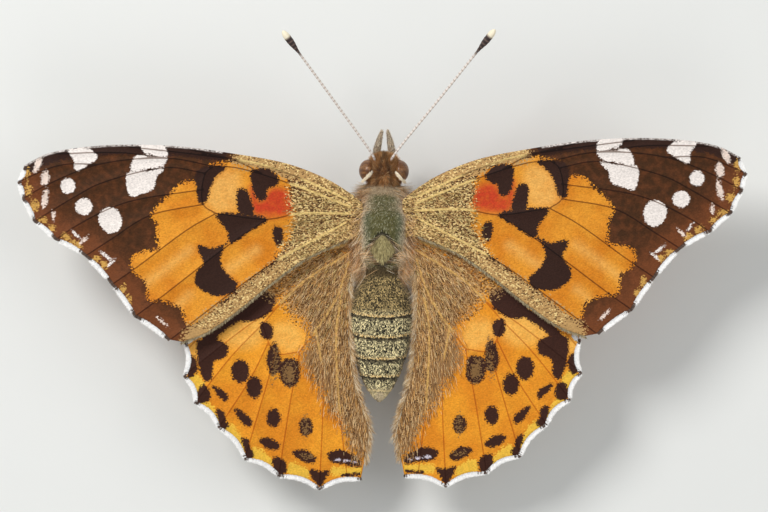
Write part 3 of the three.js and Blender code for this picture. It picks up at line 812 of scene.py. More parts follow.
class Surface(NodeKit):
    """A material in the making."""

    def __init__(self, name: str, roughness: float = 0.7, sheen: float = 0.0, coat: float = 0.0,
                 specular: float = 0.3) -> None:
        """Starts the material.

        Args:
            name: The material's name.
            roughness: Roughness of its shader.
            sheen: Weight of the soft sheen.
            coat: Weight of the clear coat.
            specular: Level of the plain reflection.
        """
        self.material = bpy.data.materials.new(name)
        self.material.use_nodes = True
        super().__init__(self.material.node_tree)
        self.shader = self.tree.nodes["Principled BSDF"].inputs
        for label, value in (("Roughness", roughness), ("Sheen Weight", sheen), ("Coat Weight", coat),
                             ("Specular IOR Level", specular)):
            self.shader[label].default_value = value

    def millimetres(self) -> Socket:
        """Object coordinates in millimetres."""
        place = self.add("ShaderNodeTexCoord").outputs["Object"]
        return self.scaled(place, (1 / MM, 1 / MM, 1 / MM))

    def ended(self, colour: Socket, height: Socket | None = None, strength: float = 0.3,
              depth: float = 0.02) -> bpy.types.Material:
        """Links the colour and the relief.

        Args:
            colour: The surface's colour.
            height: Its relief, or nothing for a smooth one.
            strength: How strongly the relief shows.
            depth: Depth of the relief in millimetres.

        Returns:
            The finished material.
        """
        self.feed(self.shader["Base Color"], colour)
        if height is not None:
            relief = self.add("ShaderNodeBump",
                              {"Height": height, "Strength": strength, "Distance": depth * MM})
            self.feed(self.shader["Normal"], relief.outputs[0])
        return self.material


@dataclass(frozen=True)
class WingPalette:
    """Colours of one face of one pair of wings."""

    ground: Colour
    ground_edge: Colour
    field: Colour
    field_deep: Colour
    pale: Colour
    red: Colour
    dark: Colour
    white: Colour
    amber: Colour
    tan: Colour
    wool_dark: Colour
    wool_pale: Colour
    vein: Colour
    vein_pale: Colour
    faint: Colour
    faint_jitter: float = 0.35
    marbled: bool = False


PALETTES: dict[tuple[str, Face], WingPalette] = {
    ("forewing", Face.UPPER): WingPalette(
        ground=paint(64, 38, 18), ground_edge=paint(110, 61, 32), field=paint(220, 146, 44),
        field_deep=paint(202, 120, 26), pale=paint(230, 174, 90), red=paint(188, 60, 30),
        dark=paint(50, 29, 21), white=paint(232, 222, 214), amber=paint(196, 150, 76),
        tan=paint(182, 143, 90), wool_dark=paint(100, 72, 42), wool_pale=paint(230, 202, 138),
        vein=(0.22, 0.16, 0.13), vein_pale=paint(222, 190, 120), faint=paint(224, 204, 190),
        faint_jitter=0.2,
    ),
    ("hindwing", Face.UPPER): WingPalette(
        ground=paint(90, 54, 34), ground_edge=paint(214, 160, 80), field=paint(230, 152, 40),
        field_deep=paint(214, 130, 30), pale=paint(238, 180, 86), red=paint(190, 62, 30),
        dark=paint(58, 32, 23), white=paint(204, 194, 204), amber=paint(230, 180, 62),
        tan=paint(152, 114, 72), wool_dark=paint(84, 56, 32), wool_pale=paint(196, 156, 100),
        vein=(0.62, 0.42, 0.3), vein_pale=paint(206, 162, 92), faint=paint(124, 92, 54), faint_jitter=0.7,
    ),
    ("forewing", Face.UNDER): WingPalette(
        ground=paint(120, 92, 66), ground_edge=paint(176, 150, 116), field=paint(226, 138, 92),
        field_deep=paint(214, 112, 72), pale=paint(240, 176, 132), red=paint(214, 84, 66),
        dark=paint(48, 32, 28), white=paint(240, 232, 220), amber=paint(214, 186, 140),
        tan=paint(206, 178, 142), wool_dark=paint(120, 84, 62), wool_pale=paint(240, 200, 160),
        vein=(0.8, 0.7, 0.6), vein_pale=paint(230, 204, 160), faint=paint(226, 206, 176),
    ),
    ("hindwing", Face.UNDER): WingPalette(
        ground=paint(142, 112, 78), ground_edge=paint(206, 180, 140), field=paint(168, 134, 92),
        field_deep=paint(116, 86, 56), pale=paint(226, 208, 176), red=paint(160, 120, 80),
        dark=paint(136, 104, 72), white=paint(236, 226, 206), amber=paint(214, 186, 130),
        tan=paint(214, 196, 160), wool_dark=paint(132, 100, 66), wool_pale=paint(232, 216, 186),
        vein=(1.0, 0.95, 0.85), vein_pale=paint(236, 224, 200), faint=paint(226, 206, 176), marbled=True,
    ),
}


class WingSurface(Surface):
    """One face of a wing: its pattern is laid in rows of single-coloured scales."""

    def __init__(self, name: str, palette: WingPalette, scales: bpy.types.NodeTree,
                 ragged: bpy.types.NodeTree) -> None:
        """Reads what the pattern is drawn from.

        Args:
            name: The material's name.
            palette: The face's colours.
            scales: The shared group of scale rows.
            ragged: The shared group of jagged edges.
        """
        super().__init__(name, roughness=0.6, specular=0.12)
        self.palette, self.ragged = palette, ragged
        self.place = self.millimetres()
        rows = self.group(scales, {"Vector": self.place})
        self.shade, self.second, self.height = rows["Shade"], rows["Second shade"], rows["Height"]
        self.broad, self.fine = self.clouds(self.place, 0.35), self.clouds(self.place, 1.6)
        self.vein, self.costa, self.wool = (self.reading(label) for label in ("vein", "costa", "wool"))

    def edge(self, depth: object, jitter: float) -> Socket:
        """A jagged mask where a depth is above zero."""
        return self.group(self.ragged, {"Depth": depth, "Shade": self.shade, "Jitter": jitter})["Mask"]

    def bright_field(self) -> Socket:
        """The wing's bright field, with its paler, redder and deeper parts.

        Returns:
            Its colour.
        """
        palette = self.palette
        colour = self.blend(self.ease(self.broad, 0.35, 0.7), palette.field, palette.field_deep)
        colour = self.blend(self.times(self.ease(self.reading("pale"), -0.7, 0.7), 0.8), colour, palette.pale)
        colour = self.blend(self.ease(self.reading("red"), -0.55, 0.5), colour, palette.red)
        if palette.marbled:
            streaks = self.clouds(self.scaled(self.place, (0.9, 0.9, 0.9)), 0.8)
            colour = self.blend(self.ease(streaks, 0.46, 0.56), colour, palette.pale)
            colour = self.blend(self.ease(self.broad, 0.55, 0.62), colour, palette.field_deep)
        return self.blend(self.times(self.ease(self.fine, 0.4, 0.75), 0.3), colour, palette.field_deep)

    def dark_ground(self) -> Socket:
        """The ground around the field, lighter along the rim, with a dark front edge.

        Returns:
            Its colour.
        """
        palette = self.palette
        rim = self.ease(self.math("ADD", self.reading("margin"), self.line(self.fine, 3.0, -1.5)), 3.2, 0.6)
        rim = self.math("MAXIMUM", rim, self.times(self.ease(self.fine, 0.35, 0.8), 0.6))
        ground = self.blend(rim, palette.ground, palette.ground_edge)
        ground = self.blend(self.edge(self.line(self.costa, -1.0, 0.85), 0.3), ground, palette.dark)
        return self.blend(self.times(self.ease(self.costa, 0.2, 0.08), self.second), ground, palette.white)

    def marked(self, colour: Socket) -> Socket:
        """The marks laid over a colour, each layer over the one before.

        Args:
            colour: The colour below.

        Returns:
            The colour with the marks.
        """
        palette = self.palette
        for layer, jitter in (("tan", 1.0), ("amber", 0.35), ("dark", 0.26), ("faint", palette.faint_jitter),
                              ("white", 0.14)):
            colour = self.blend(self.edge(self.reading(layer), jitter), colour, getattr(palette, layer))
        return colour

    def woolly(self, colour: Socket) -> Socket:
        """Pale and dark specks of wool peppered over a colour.

        Args:
            colour: The colour below.

        Returns:
            The colour with the specks.
        """
        palette = self.palette
        speck = self.blend(self.math("GREATER_THAN", self.shade, 0.72), palette.tan, palette.wool_pale)
        speck = self.blend(self.math("LESS_THAN", self.shade, 0.38), speck, palette.wool_dark)
        pepper = self.math("GREATER_THAN", self.wool, self.second)
        return self.blend(self.times(pepper, 0.85), colour, speck)

    def veined(self, colour: Socket) -> Socket:
        """Veins drawn over a colour, dark on the pattern and pale in the wool.

        Args:
            colour: The colour below.

        Returns:
            The colour with the veins.
        """
        palette = self.palette
        in_wool = self.ease(self.wool, 0.1, 0.5)
        line = self.blend(in_wool, self.blend(1.0, colour, palette.vein, "MULTIPLY"), palette.vein_pale)
        crease = self.ease(self.line(in_wool, -0.04, self.vein), 0.085, 0.03)
        return self.blend(self.times(crease, 0.85), colour, line)

    def made(self) -> bpy.types.Material:
        """The finished material.

        Returns:
            The material.
        """
        colour = self.blend(self.edge(self.reading("field"), 0.5), self.dark_ground(), self.bright_field())
        colour = self.veined(self.woolly(self.marked(colour)))
        return self.ended(self.shaded(colour, self.line(self.shade, 0.3, 0.84)), self.height, 0.35, 0.06)


class Finishes:
    """Every material of the animal, built once."""

    def __init__(self) -> None:
        """Builds the shared groups and the materials."""
        scales, ragged, self.hair = scale_rows_group(), ragged_edge_group(), hair_shade_group()
        self.wings = {key: WingSurface(f"{key[0]} {key[1].value} scales", palette, scales, ragged).made()
                      for key, palette in PALETTES.items()}
        self.skin = self.tinted("Body skin", 0.9)
        self.coat = self.tinted("Body hair", 0.7)
        self.eye = self.eye_finish()
        self.feeler = self.feeler_finish()
        self.leg = self.leg_finish()
        self.tongue = self.tongue_finish()
        self.floor = self.floor_finish()

    def tinted(self, name: str, roughness: float) -> bpy.types.Material:
        """Skin or hair that takes its colour from the piece's own tint.

        Args:
            name: The material's name.
            roughness: Roughness of its shader.

        Returns:
            The material.
        """
        kit = Surface(name, roughness=roughness, sheen=0.15, specular=0.2)
        readings = {"Tint": kit.reading("tint", "Color"), "Along": kit.reading("along"),
                    "Vector": kit.millimetres()}
        return kit.ended(kit.group(self.hair, readings)["Colour"])

    @staticmethod
    def eye_finish() -> bpy.types.Material:
        """A smooth compound eye, brown and mottled, with its fine facets.

        Returns:
            The material.
        """
        kit = Surface("Compound eye", roughness=0.42, coat=0.12, specular=0.35)
        place = kit.millimetres()
        mottle = kit.ease(kit.clouds(kit.scaled(place, (1.0, 2.2, 1.6)), 1.2, 4.0), 0.38, 0.62)
        colour = kit.blend(mottle, paint(112, 68, 34), paint(170, 118, 68))
        facets = kit.cells(place, 22.0).outputs["Distance"]
        colour = kit.blend(kit.ease(facets, 0.35, 0.65), colour, paint(64, 36, 20))
        return kit.ended(colour, kit.math("SUBTRACT", 1.0, facets))

    @staticmethod
    def feeler_finish() -> bpy.types.Material:
        """Feelers: a shaft with fine dark rings, a dark club and a cream tip.

        Returns:
            The material.
        """
        kit = Surface("Feeler", roughness=0.55)
        along = kit.reading("along")
        rings = kit.math("SINE", kit.times(along, FEELER_RINGS))
        shaft = kit.blend(kit.ease(rings, 0.0, 1.0), paint(224, 214, 204), paint(186, 168, 156))
        shaft = kit.blend(kit.ease(kit.reading("under"), 0.2, 0.6), shaft, paint(232, 222, 208))
        club = kit.blend(kit.ease(rings, 0.1, 0.6), paint(52, 40, 38), paint(96, 78, 70))
        colour = kit.blend(kit.ease(along, 0.8, 0.85), shaft, club)
        return kit.ended(kit.blend(kit.ease(along, 0.945, 0.962), colour, paint(240, 228, 200)))

    @staticmethod
    def leg_finish() -> bpy.types.Material:
        """Pale scaled legs with darker joints.

        Returns:
            The material.
        """
        kit = Surface("Leg scales", roughness=0.65, sheen=0.1)
        place = kit.millimetres()
        specks = kit.ease(kit.cells(place, 9.0).outputs["Distance"], 0.2, 0.6)
        colour = kit.blend(kit.times(specks, 0.5), paint(216, 196, 160), paint(128, 98, 66))
        colour = kit.blend(kit.ease(kit.reading("joint"), 0.4, 0.9), colour, paint(92, 66, 44))
        return kit.ended(colour, kit.cells(place, 12.0).outputs["Distance"], 0.4, 0.04)

    @staticmethod
    def tongue_finish() -> bpy.types.Material:
        """The coiled tongue: amber horn with fine cross rings.

        Returns:
            The material.
        """
        kit = Surface("Tongue horn", roughness=0.35, coat=0.2, specular=0.5)
        rings = kit.math("SINE", kit.times(kit.reading("along"), TONGUE_RINGS))
        colour = kit.blend(kit.ease(rings, -0.6, 0.6), paint(128, 84, 42), paint(164, 114, 62))
        return kit.ended(colour, rings)

    @staticmethod
    def floor_finish() -> bpy.types.Material:
        """Plain pale floor.

        Returns:
            The material.
        """
        kit = Surface("Pale floor", roughness=0.9, specular=0.1)
        place = kit.add("ShaderNodeTexCoord").outputs["Object"]
        grain = kit.ease(kit.clouds(place, 60.0), 0.3, 0.7)
        return kit.ended(kit.blend(kit.times(grain, 0.25), paint(226, 226, 222), paint(220, 220, 216)))


# Meshes


def lean(points: np.ndarray) -> np.ndarray:
    """Turns places from the body's own axis into the frame.

    Args:
        points: Places in the body's own frame.

    Returns:
        Places in the frame.
    """
    x, y, z = points.T
    return np.column_stack([x * math.cos(AXIS_LEAN) - y * math.sin(AXIS_LEAN),
                            x * math.sin(AXIS_LEAN) + y * math.cos(AXIS_LEAN), z])


def on_bake_map(shares: np.ndarray) -> np.ndarray:
    """Places on the bake map, kept clear of its rim."""
    return np.clip(shares, BAKE_RIM, 1.0 - BAKE_RIM)


def add_object(name: str, data: bpy.types.ID) -> bpy.types.Object:
    """Puts a new object into the scene, at the origin.

    Args:
        name: Its name.
        data: Its mesh, lamp or camera.

    Returns:
        The object.
    """
    added = bpy.data.objects.new(name, data)
    bpy.context.collection.objects.link(added)
    return added


def make_piece(name: str, points: np.ndarray, faces: Sequence[Sequence[int]],
               materials: Sequence[bpy.types.Material], values: dict[str, np.ndarray] | None = None,
               slots: np.ndarray | None = None) -> bpy.types.Object:
    """Makes a smooth mesh object at the origin.

    Args:
        name: The piece's name.
        points: Its points in millimetres.
        faces: Its faces as point numbers.
        materials: Its materials.
        values: Named values or colours, one for each point.
        slots: The material number of each face.

    Returns:
        The object.
    """
    mesh = bpy.data.meshes.new(name)
    mesh.from_pydata((points * MM).tolist(), [], [tuple(int(i) for i in face) for face in faces])
    for material in materials:
        mesh.materials.append(material)
    for label, data in (values or {}).items():
        store_values(mesh, label, data)
    if slots is not None:
        mesh.polygons.foreach_set("material_index", slots)
    mesh.polygons.foreach_set("use_smooth", np.ones(len(mesh.polygons), dtype=bool))
    mesh.validate()
    mesh.update()
    return add_object(name, mesh)


def store_values(mesh: bpy.types.Mesh, label: str, values: np.ndarray) -> None:
    """Stores one value, vector or colour for each point of a mesh.

    Args:
        mesh: The mesh.
        label: The value's name.
        values: One row for each point.
    """
    data = np.asarray(values, dtype=np.float32)
    kind, part = "FLOAT_VECTOR", "vector"
    if data.ndim == 1:
        kind, part = "FLOAT", "value"
    elif label == "tint":
        kind, part = "FLOAT_COLOR", "color"
        data = np.column_stack([data, np.ones(len(data), dtype=np.float32)])
    mesh.attributes.new(label, kind, "POINT").data.foreach_set(part, data.ravel())


def rest_on_floor(piece: bpy.types.Object) -> None:
    """Lays every point that would be under the floor on it.

    Args:
        piece: The piece.
    """
    places = np.empty(len(piece.data.vertices) * 3, dtype=np.float32)
    piece.data.vertices.foreach_get("co", places)
    places[2::3] = np.maximum(places[2::3], FLOOR_GAP * MM)
    piece.data.vertices.foreach_set("co", places)
    piece.data.update()


def settle(piece: bpy.types.Object, slot: str, *nodes: str) -> None:
    """Rides a piece on the body and hides the nodes that it stands for.

    Args:
        piece: The piece.
        slot: Its slot; not used.
        *nodes: The nodes.
    """
    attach(piece, BODY)
    if nodes:
        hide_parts(*nodes)
    LOG.info("%s: %d faces", piece.name, len(piece.data.polygons))


def ring_faces(rings: int, around: int, closed_ends: bool = True) -> list[tuple[int, ...]]:
    """Faces of a tube of rings, with its ends closed by one face each.

    Args:
        rings: How many rings.
        around: Points in each ring.
        closed_ends: Whether the ends are closed.

    Returns:
        The faces as point numbers.
    """
    faces: list[tuple[int, ...]] = []
    for ring in range(rings - 1):
        for k in range(around):
            a, b = ring * around + k, ring * around + (k + 1) % around
            faces.append((a, b, b + around, a + around))
    if closed_ends:
        faces.append(tuple(reversed(range(around))))
        faces.append(tuple((rings - 1) * around + k for k in range(around)))
    return faces


def sweep(path: np.ndarray, radii: np.ndarray, around: int) -> np.ndarray:
    """Rings of a round tube along a path, turned as little as possible from one to the next.

    Args:
        path: The middle line.
        radii: One radius for each point of the path.
        around: Points in each ring.

    Returns:
        The rings' points, ring after ring.
    """
    tangents = np.gradient(path, axis=0)
    tangents /= np.linalg.norm(tangents, axis=1)[:, None]
    side = np.cross(tangents[0], (0.0, 0.0, 1.0))
    if np.linalg.norm(side) < 0.1:
        side = np.cross(tangents[0], (0.0, 1.0, 0.0))
    rings = []
    angles = full_turn(around)[:, None]
    for place, tangent, radius in zip(path, tangents, radii):
        side = side - tangent * (side @ tangent)
        side /= np.linalg.norm(side)
        rings.append(place + radius * (np.cos(angles) * side + np.sin(angles) * np.cross(side, tangent)))
    return np.vstack(rings)


# Tufts of hair and scales

TUFT_FIELDS = ("roots", "lie", "up", "reach", "breadth", "place", "tint")


@dataclass
class Tufts:
    """Roots of many tufts, each with its lie, size, place on the bake map and colour."""

    roots: np.ndarray
    lie: np.ndarray
    up: np.ndarray
    reach: np.ndarray
    breadth: np.ndarray
    place: np.ndarray
    tint: np.ndarray

    @staticmethod
    def joined(*sets: Tufts) -> Tufts:
        """Several sets of tufts as one."""
        return Tufts(*(np.concatenate([getattr(part, name) for part in sets]) for name in TUFT_FIELDS))

    def only(self, kept: np.ndarray) -> Tufts:
        """The tufts of this set that are kept."""
        return Tufts(*(getattr(self, name)[kept] for name in TUFT_FIELDS))

    def __len__(self) -> int:
        """How many tufts there are."""
        return len(self.roots)


class TuftMaker:
    """Sets one bent, tapered blade on every root by Geometry Nodes and returns a plain mesh."""

    def __init__(self) -> None:
        """Builds the node tree."""
        kit = GroupKit("Tufts on roots", "GeometryNodeTree",
                       {"Geometry": "Geometry", "Bend": "Float", "Disorder": "Float", "Tip width": "Float",
                        "Seed": "Int", "Material": "Material"}, {"Geometry": "Geometry"})
        reach = kit.named("reach", "FLOAT")
        spread = kit.add("GeometryNodeInstanceOnPoints",
                         {"Points": kit.given["Geometry"], "Instance": self.blade(kit),
                          "Rotation": self.turn(kit),
                          "Scale": kit.xyz(kit.named("breadth", "FLOAT"), reach, reach)})
        real = kit.add("GeometryNodeRealizeInstances", {0: spread.outputs[0]})
        size = (BAKE_PATCH, BAKE_PATCH, 0.0)
        patch = kit.add("ShaderNodeVectorMath",
                        {0: kit.named("blade_place"), 1: size, 2: kit.named("place")},
                        operation="MULTIPLY_ADD")
        mapped = kit.stored(real.outputs[0], BAKE_MAP, patch.outputs[0], "FLOAT2", "CORNER")
        dressed = kit.add("GeometryNodeSetMaterial", {"Geometry": mapped, "Material": kit.given["Material"]})
        self.tree = kit.ended({"Geometry": dressed.outputs[0]})
        self.inputs = {item.name: item.identifier for item in self.tree.interface.items_tree
                       if item.in_out == "INPUT"}

    @staticmethod
    def blade(kit: GroupKit) -> Socket:
        """A blade one unit long along Y that narrows to its tip and bends up along Z.

        Args:
            kit: The tree's kit.

        Returns:
            The blade's mesh.
        """
        grid = kit.add("GeometryNodeMeshGrid",
                       {"Size X": 1.0, "Size Y": 1.0, "Vertices X": 2, "Vertices Y": 4})
        place = kit.add("GeometryNodeInputPosition").outputs[0]
        kept = kit.stored(grid.outputs[0], "blade_place", place, "FLOAT_VECTOR")
        parts = kit.add("ShaderNodeSeparateXYZ", {0: place}).outputs
        along = kit.math("ADD", parts[1], 0.5)
        measured = kit.stored(kept, "along", along, "FLOAT")
        square = kit.times(along, along)
        loss = kit.times(square, kit.math("SUBTRACT", 1.0, kit.given["Tip width"]))
        narrow = kit.times(parts[0], kit.math("SUBTRACT", 1.0, loss))
        shape = kit.xyz(narrow, along, kit.times(square, kit.given["Bend"]))
        return kit.add("GeometryNodeSetPosition", {"Geometry": measured, "Position": shape}).outputs[0]

    @staticmethod
    def turn(kit: GroupKit) -> Socket:
        """The rotation of each blade: along its lie, with its face up, and a little disorder.

        Args:
            kit: The tree's kit.

        Returns:
            The rotation.
        """
        aligned = kit.add("FunctionNodeAxesToRotation", {0: kit.named("lie"), 1: kit.named("up")},
                          primary_axis="Y", secondary_axis="Z")
        most = kit.given["Disorder"]
        least = kit.times(most, -1.0)
        limits = {0: kit.xyz(least, least, least), 1: kit.xyz(most, most, most)}
        random = kit.add("FunctionNodeRandomValue", {**limits, "Seed": kit.given["Seed"]},
                         data_type="FLOAT_VECTOR")
        swing = kit.add("FunctionNodeEulerToRotation", {0: random.outputs[0]})
        return kit.add("FunctionNodeRotateRotation", {0: aligned.outputs[0], 1: swing.outputs[0]},
                       rotation_space="LOCAL").outputs[0]

    def grow(self, name: str, tufts: Tufts, material: bpy.types.Material, bend: float, disorder: float,
             tip_width: float, seed: int) -> bpy.types.Object:
        """Grows the tufts.

        Args:
            name: The piece's name.
            tufts: The roots, in millimetres.
            material: The hair's material.
            bend: How far the tip rises, as a share of the length.
            disorder: Largest random turn, in radians.
            tip_width: Width of the tip as a share of the root's.
            seed: The seed of the disorder.

        Returns:
            The plain mesh object.
        """
        mesh = bpy.data.meshes.new(name + "_roots")
        mesh.from_pydata((tufts.roots * MM).tolist(), [], [])
        flat = np.column_stack([tufts.place, np.zeros(len(tufts))])
        for label, data in (("lie", tufts.lie), ("up", tufts.up), ("reach", tufts.reach * MM),
                            ("breadth", tufts.breadth * MM), ("place", flat), ("tint", tufts.tint)):
            store_values(mesh, label, data)
        piece = add_object(name, mesh)
        modifier = piece.modifiers.new("Tufts", "NODES")
        modifier.node_group = self.tree
        settings = {"Bend": bend, "Disorder": disorder, "Tip width": tip_width, "Seed": seed,
                    "Material": material}
        for label, value in settings.items():
            modifier[self.inputs[label]] = value
        bpy.context.view_layer.update()
        graph = bpy.context.evaluated_depsgraph_get()
        plain = bpy.data.meshes.new_from_object(piece.evaluated_get(graph), depsgraph=graph)
        piece.modifiers.clear()
        piece.data = plain
        bpy.data.meshes.remove(mesh)
        plain.name = name
        if not plain.materials:
            plain.materials.append(material)
        for label in ("lie", "up", "reach", "breadth", "place", "blade_place"):
            if label in plain.attributes:
                plain.attributes.remove(plain.attributes[label])
        return piece


# Wings

TILE = 0.17
RIM_THICKNESS = 0.07
EXTRA_THICKNESS = 0.06
VEIN_RIDGE = 0.06
VEIN_FOLD = -0.11
NAP_REACH = 0.6
BROWN = (paint(180, 138, 90), paint(216, 160, 88), paint(94, 62, 34), paint(238, 202, 148),
         paint(156, 114, 70))
OLIVE = (paint(150, 136, 104), paint(182, 166, 130), paint(112, 92, 66))
STRAW = (paint(196, 156, 106), paint(222, 190, 140), paint(136, 102, 66), paint(176, 138, 92),
         paint(232, 214, 182))
GOLD = (paint(182, 148, 82), paint(226, 200, 132), paint(112, 82, 44), paint(160, 136, 80))
FRINGE_DARK = paint(84, 66, 56)
FRINGE_WHITE = (1.0, 0.98, 0.95)
FOREWING_ROOT = Patch(((1.5, 6.0), (4.6, 6.2), (7.4, 4.8), (7.8, 2.4), (7.0, 0.2), (4.0, 1.5), (1.5, 2.2)))
HINDWING_ROOT = Patch(((1.2, 2.2), (4.8, 1.2), (7.4, -1.0), (6.4, -3.4), (4.6, -6.0), (1.2, -5.0)))


@dataclass
class Wing:
    """One wing: its patterned membrane, and the hair along its edges and on its face."""

    plan: WingPlan
    side: Side
    rng: np.random.Generator

    def to_frame(self, flat: np.ndarray, lift: np.ndarray | float) -> np.ndarray:
        """Moves places on the plan to the resting wing.

        Args:
            flat: Places as [reach, forward].
            lift: How far each is above the membrane's middle.

        Returns:
            Places in the frame.
        """
        placement = self.plan.placements[self.side]
        turn = math.radians(placement.sweep)
        dx, dy = flat[:, 0] - HINGE_REACH, flat[:, 1] - SWEEP_FORWARD
        reach = HINGE_REACH + dx * math.cos(turn) - dy * math.sin(turn) + placement.shift[0]
        forward = SWEEP_FORWARD + dx * math.sin(turn) + dy * math.cos(turn) + placement.shift[1]
        return np.column_stack([self.side.value * reach, forward, self.plan.height(flat) + lift])

    def tiles(self) -> tuple[np.ndarray, list[tuple[int, ...]]]:
        """Fills the outline with even triangles.

        Returns:
            Flat places and the triangles between them.
        """
        outline = self.plan.outline()
        low, high = self.plan.limits()
        columns = np.arange(low[0], high[0], TILE)
        rows = np.arange(low[1], high[1], TILE * math.sqrt(0.75))
        grid = np.array([(x + TILE * 0.5 * (k % 2), y) for k, y in enumerate(rows) for x in columns])
        veins = [smooth_path(vein, TILE * 0.7) for vein in self.plan.veins]
        for path in veins:
            grid = grid[path_distance(grid, path) > TILE * 0.5]
        grid = np.vstack([grid, *veins])
        grid = grid[inside_loop(grid, outline)]
        grid = grid[path_distance(grid, outline, closed=True) > TILE * 0.5]
        count = len(outline)
        edges = [(k, (k + 1) % count) for k in range(count)]
        every = [Vector(place) for place in np.vstack([outline, grid])]
        placed, _, faces, *_ = delaunay_2d_cdt(every, edges, [], 1, 1e-5)
        return np.array([tuple(place) for place in placed]), [tuple(face) for face in faces]

    def membrane(self, finishes: Finishes) -> None:
        """Builds the membrane with its raised veins and its pattern.

        Args:
            finishes: The materials.
        """
        flat, tiles = self.tiles()
        margin = path_distance(flat, self.plan.scallops()[0])
        vein = np.full(len(flat), FAR)
        for knots in self.plan.veins:
            vein = np.minimum(vein, path_distance(flat, smooth_path(knots, 0.35)))
        thickness = RIM_THICKNESS + EXTRA_THICKNESS * np.clip(margin / 2.0, 0.0, 1.0)
        ridge = VEIN_RIDGE * np.exp(-((vein / 0.1) ** 2)) * np.clip(margin / 0.8, 0.15, 1.0)
        fold = VEIN_FOLD * (1.0 - np.exp(-((vein / 0.6) ** 2)))
        upper = self.to_frame(flat, fold + thickness / 2 + ridge)
        under = self.to_frame(flat, fold - thickness / 2 - ridge * 0.6)
        count = len(flat)
        facing = slice(None, None, self.side.value)
        faces = [tile[facing] for tile in tiles]
        faces += [tuple(k + count for k in reversed(tile))[facing] for tile in tiles]
        edges = {(a, b) for tile in tiles for a, b in zip(tile, tile[1:] + tile[:1])}
        faces += [(b, a, a + count, b + count)[facing] for a, b in edges if (b, a) not in edges]
        slots = np.zeros(len(faces), dtype=np.int32)
        slots[len(tiles):2 * len(tiles)] = 1
        values = {label: np.tile(data, 2) for label, data in self.pattern(flat).items()}
        values |= {"margin": np.tile(margin, 2), "vein": np.tile(vein, 2)}
        for label, data in self.under_pattern(flat).items():
            values[label][count:] = data
        materials = [finishes.wings[(self.plan.pair, face)] for face in Face]
        name = f"{self.plan.pair}_{self.side.word}"
        piece = make_piece(f"{name}_membrane", np.vstack([upper, under]), faces, materials, values, slots)
        settle(piece, "wing", name)

    def pattern(self, flat: np.ndarray) -> dict[str, np.ndarray]:
        """The depths of every layer of the upper pattern, and the distance from the front edge.

        Args:
            flat: Places on the plan.

        Returns:
            One value for each place, by layer.
        """
        plan = self.plan
        values = {layer: layer_depth(getattr(plan, layer), flat) for layer in LAYERS}
        values["wool"] = np.clip(0.45 + deepest(plan.wool, flat) / 1.2, 0.0, 0.9)
        costa = path_distance(flat, smooth_path(plan.leading, 0.3))
        outer = np.clip((flat[:, 0] - COSTA_START) / 1.5, 0.0, 1.0)
        values["costa"] = np.where(plan.pair == "forewing", costa + 3.0 * (1.0 - outer), FAR)
        return values

    def under_pattern(self, flat: np.ndarray) -> dict[str, np.ndarray]:
        """The layers that differ on the underside: no wool, and the row of eyespots if it has one.

        Args:
            flat: Places on the plan.

        Returns:
            One value for each place, by layer.
        """
        nowhere = np.full(len(flat), -DEPTH_LIMIT)
        changed = {"wool": np.zeros(len(flat)), "tan": nowhere, "faint": nowhere}
        if self.plan.eyespots:
            rings = layer_depth(self.plan.eyespots, flat)
            white = np.minimum(-rings - 0.02, rings + 0.3) - 0.08
            changed |= {"dark": rings - 0.25, "amber": rings + 0.1, "white": white, "pale": nowhere}
        return changed

    def edge_hair(self, line: np.ndarray, lie_flat: np.ndarray, tint: np.ndarray, reach: np.ndarray,
                  per_place: int, breadth: float, scatter: float) -> Tufts:
        """Hair rooted along the wing's edge, in several layers.

        Args:
            line: Roots on the plan.
            lie_flat: Direction of the hair on the plan at each root.
            tint: Colour at each root.
            reach: Length of the hair at each root.
            per_place: Hairs at each root.
            breadth: Width of each hair.
            scatter: How far the lie strays.

        Returns:
            The tufts.
        """
        rng = self.rng
        index = np.repeat(np.arange(len(line)), per_place)
        count = len(index)
        deep = rng.uniform(0.0, 0.1, count)
        flat = line[index] - lie_flat[index] * deep[:, None] + rng.normal(0.0, 0.02, (count, 2))
        face = rng.choice([-1.0, 1.0, 1.0], count)
        roots = self.to_frame(flat, face * 0.045)
        lie = unit(self.to_frame(flat + lie_flat[index] * 0.3, face * 0.02) - roots)
        lie += rng.normal(0.0, scatter, (count, 3)) * (1.0, 1.0, 0.4)
        return Tufts(
            roots=roots, lie=lie, up=np.column_stack([np.zeros((count, 2)), face]),
            reach=(reach[index] + deep) * rng.uniform(0.78, 1.1, count), breadth=np.full(count, breadth),
            place=self.plan.bake_place(flat), tint=tint[index] * rng.uniform(0.9, 1.0, (count, 1)),
        )

    @staticmethod
    def outward(line: np.ndarray) -> tuple[np.ndarray, np.ndarray]:
        """Unit directions along a line and out of the wing at each of its points."""
        run = unit(np.gradient(line, axis=0))
        return run, np.column_stack([-run[:, 1], run[:, 0]])

    def fringe(self) -> Tufts:
        """The outer fringe: white between the veins and dark at their ends.

        Returns:
            The tufts.
        """
        points, shares = self.plan.scallops(with_start=True)
        travelled = travelled_along(points)
        even = np.arange(0.0, travelled[-1], 0.026)
        line = places_at(points, even)
        share = np.interp(even, travelled, np.unwrap(shares, period=1.0)) % 1.0
        dark = np.abs(share - 0.5) > self.plan.white_span + self.rng.normal(0.0, 0.05, len(share))
        shade = self.rng.uniform(0.6, 1.6, (len(share), 1))
        tint = np.where(dark[:, None], np.asarray(FRINGE_DARK) * shade, FRINGE_WHITE)
        reach = np.where(dark, 0.15, 0.26 + 0.08 * np.sin(share * math.pi))
        reach = reach * self.rng.uniform(0.8, 1.1, len(share))
        return self.edge_hair(line, self.outward(line)[1], tint, reach, 7, 0.036, 0.22)

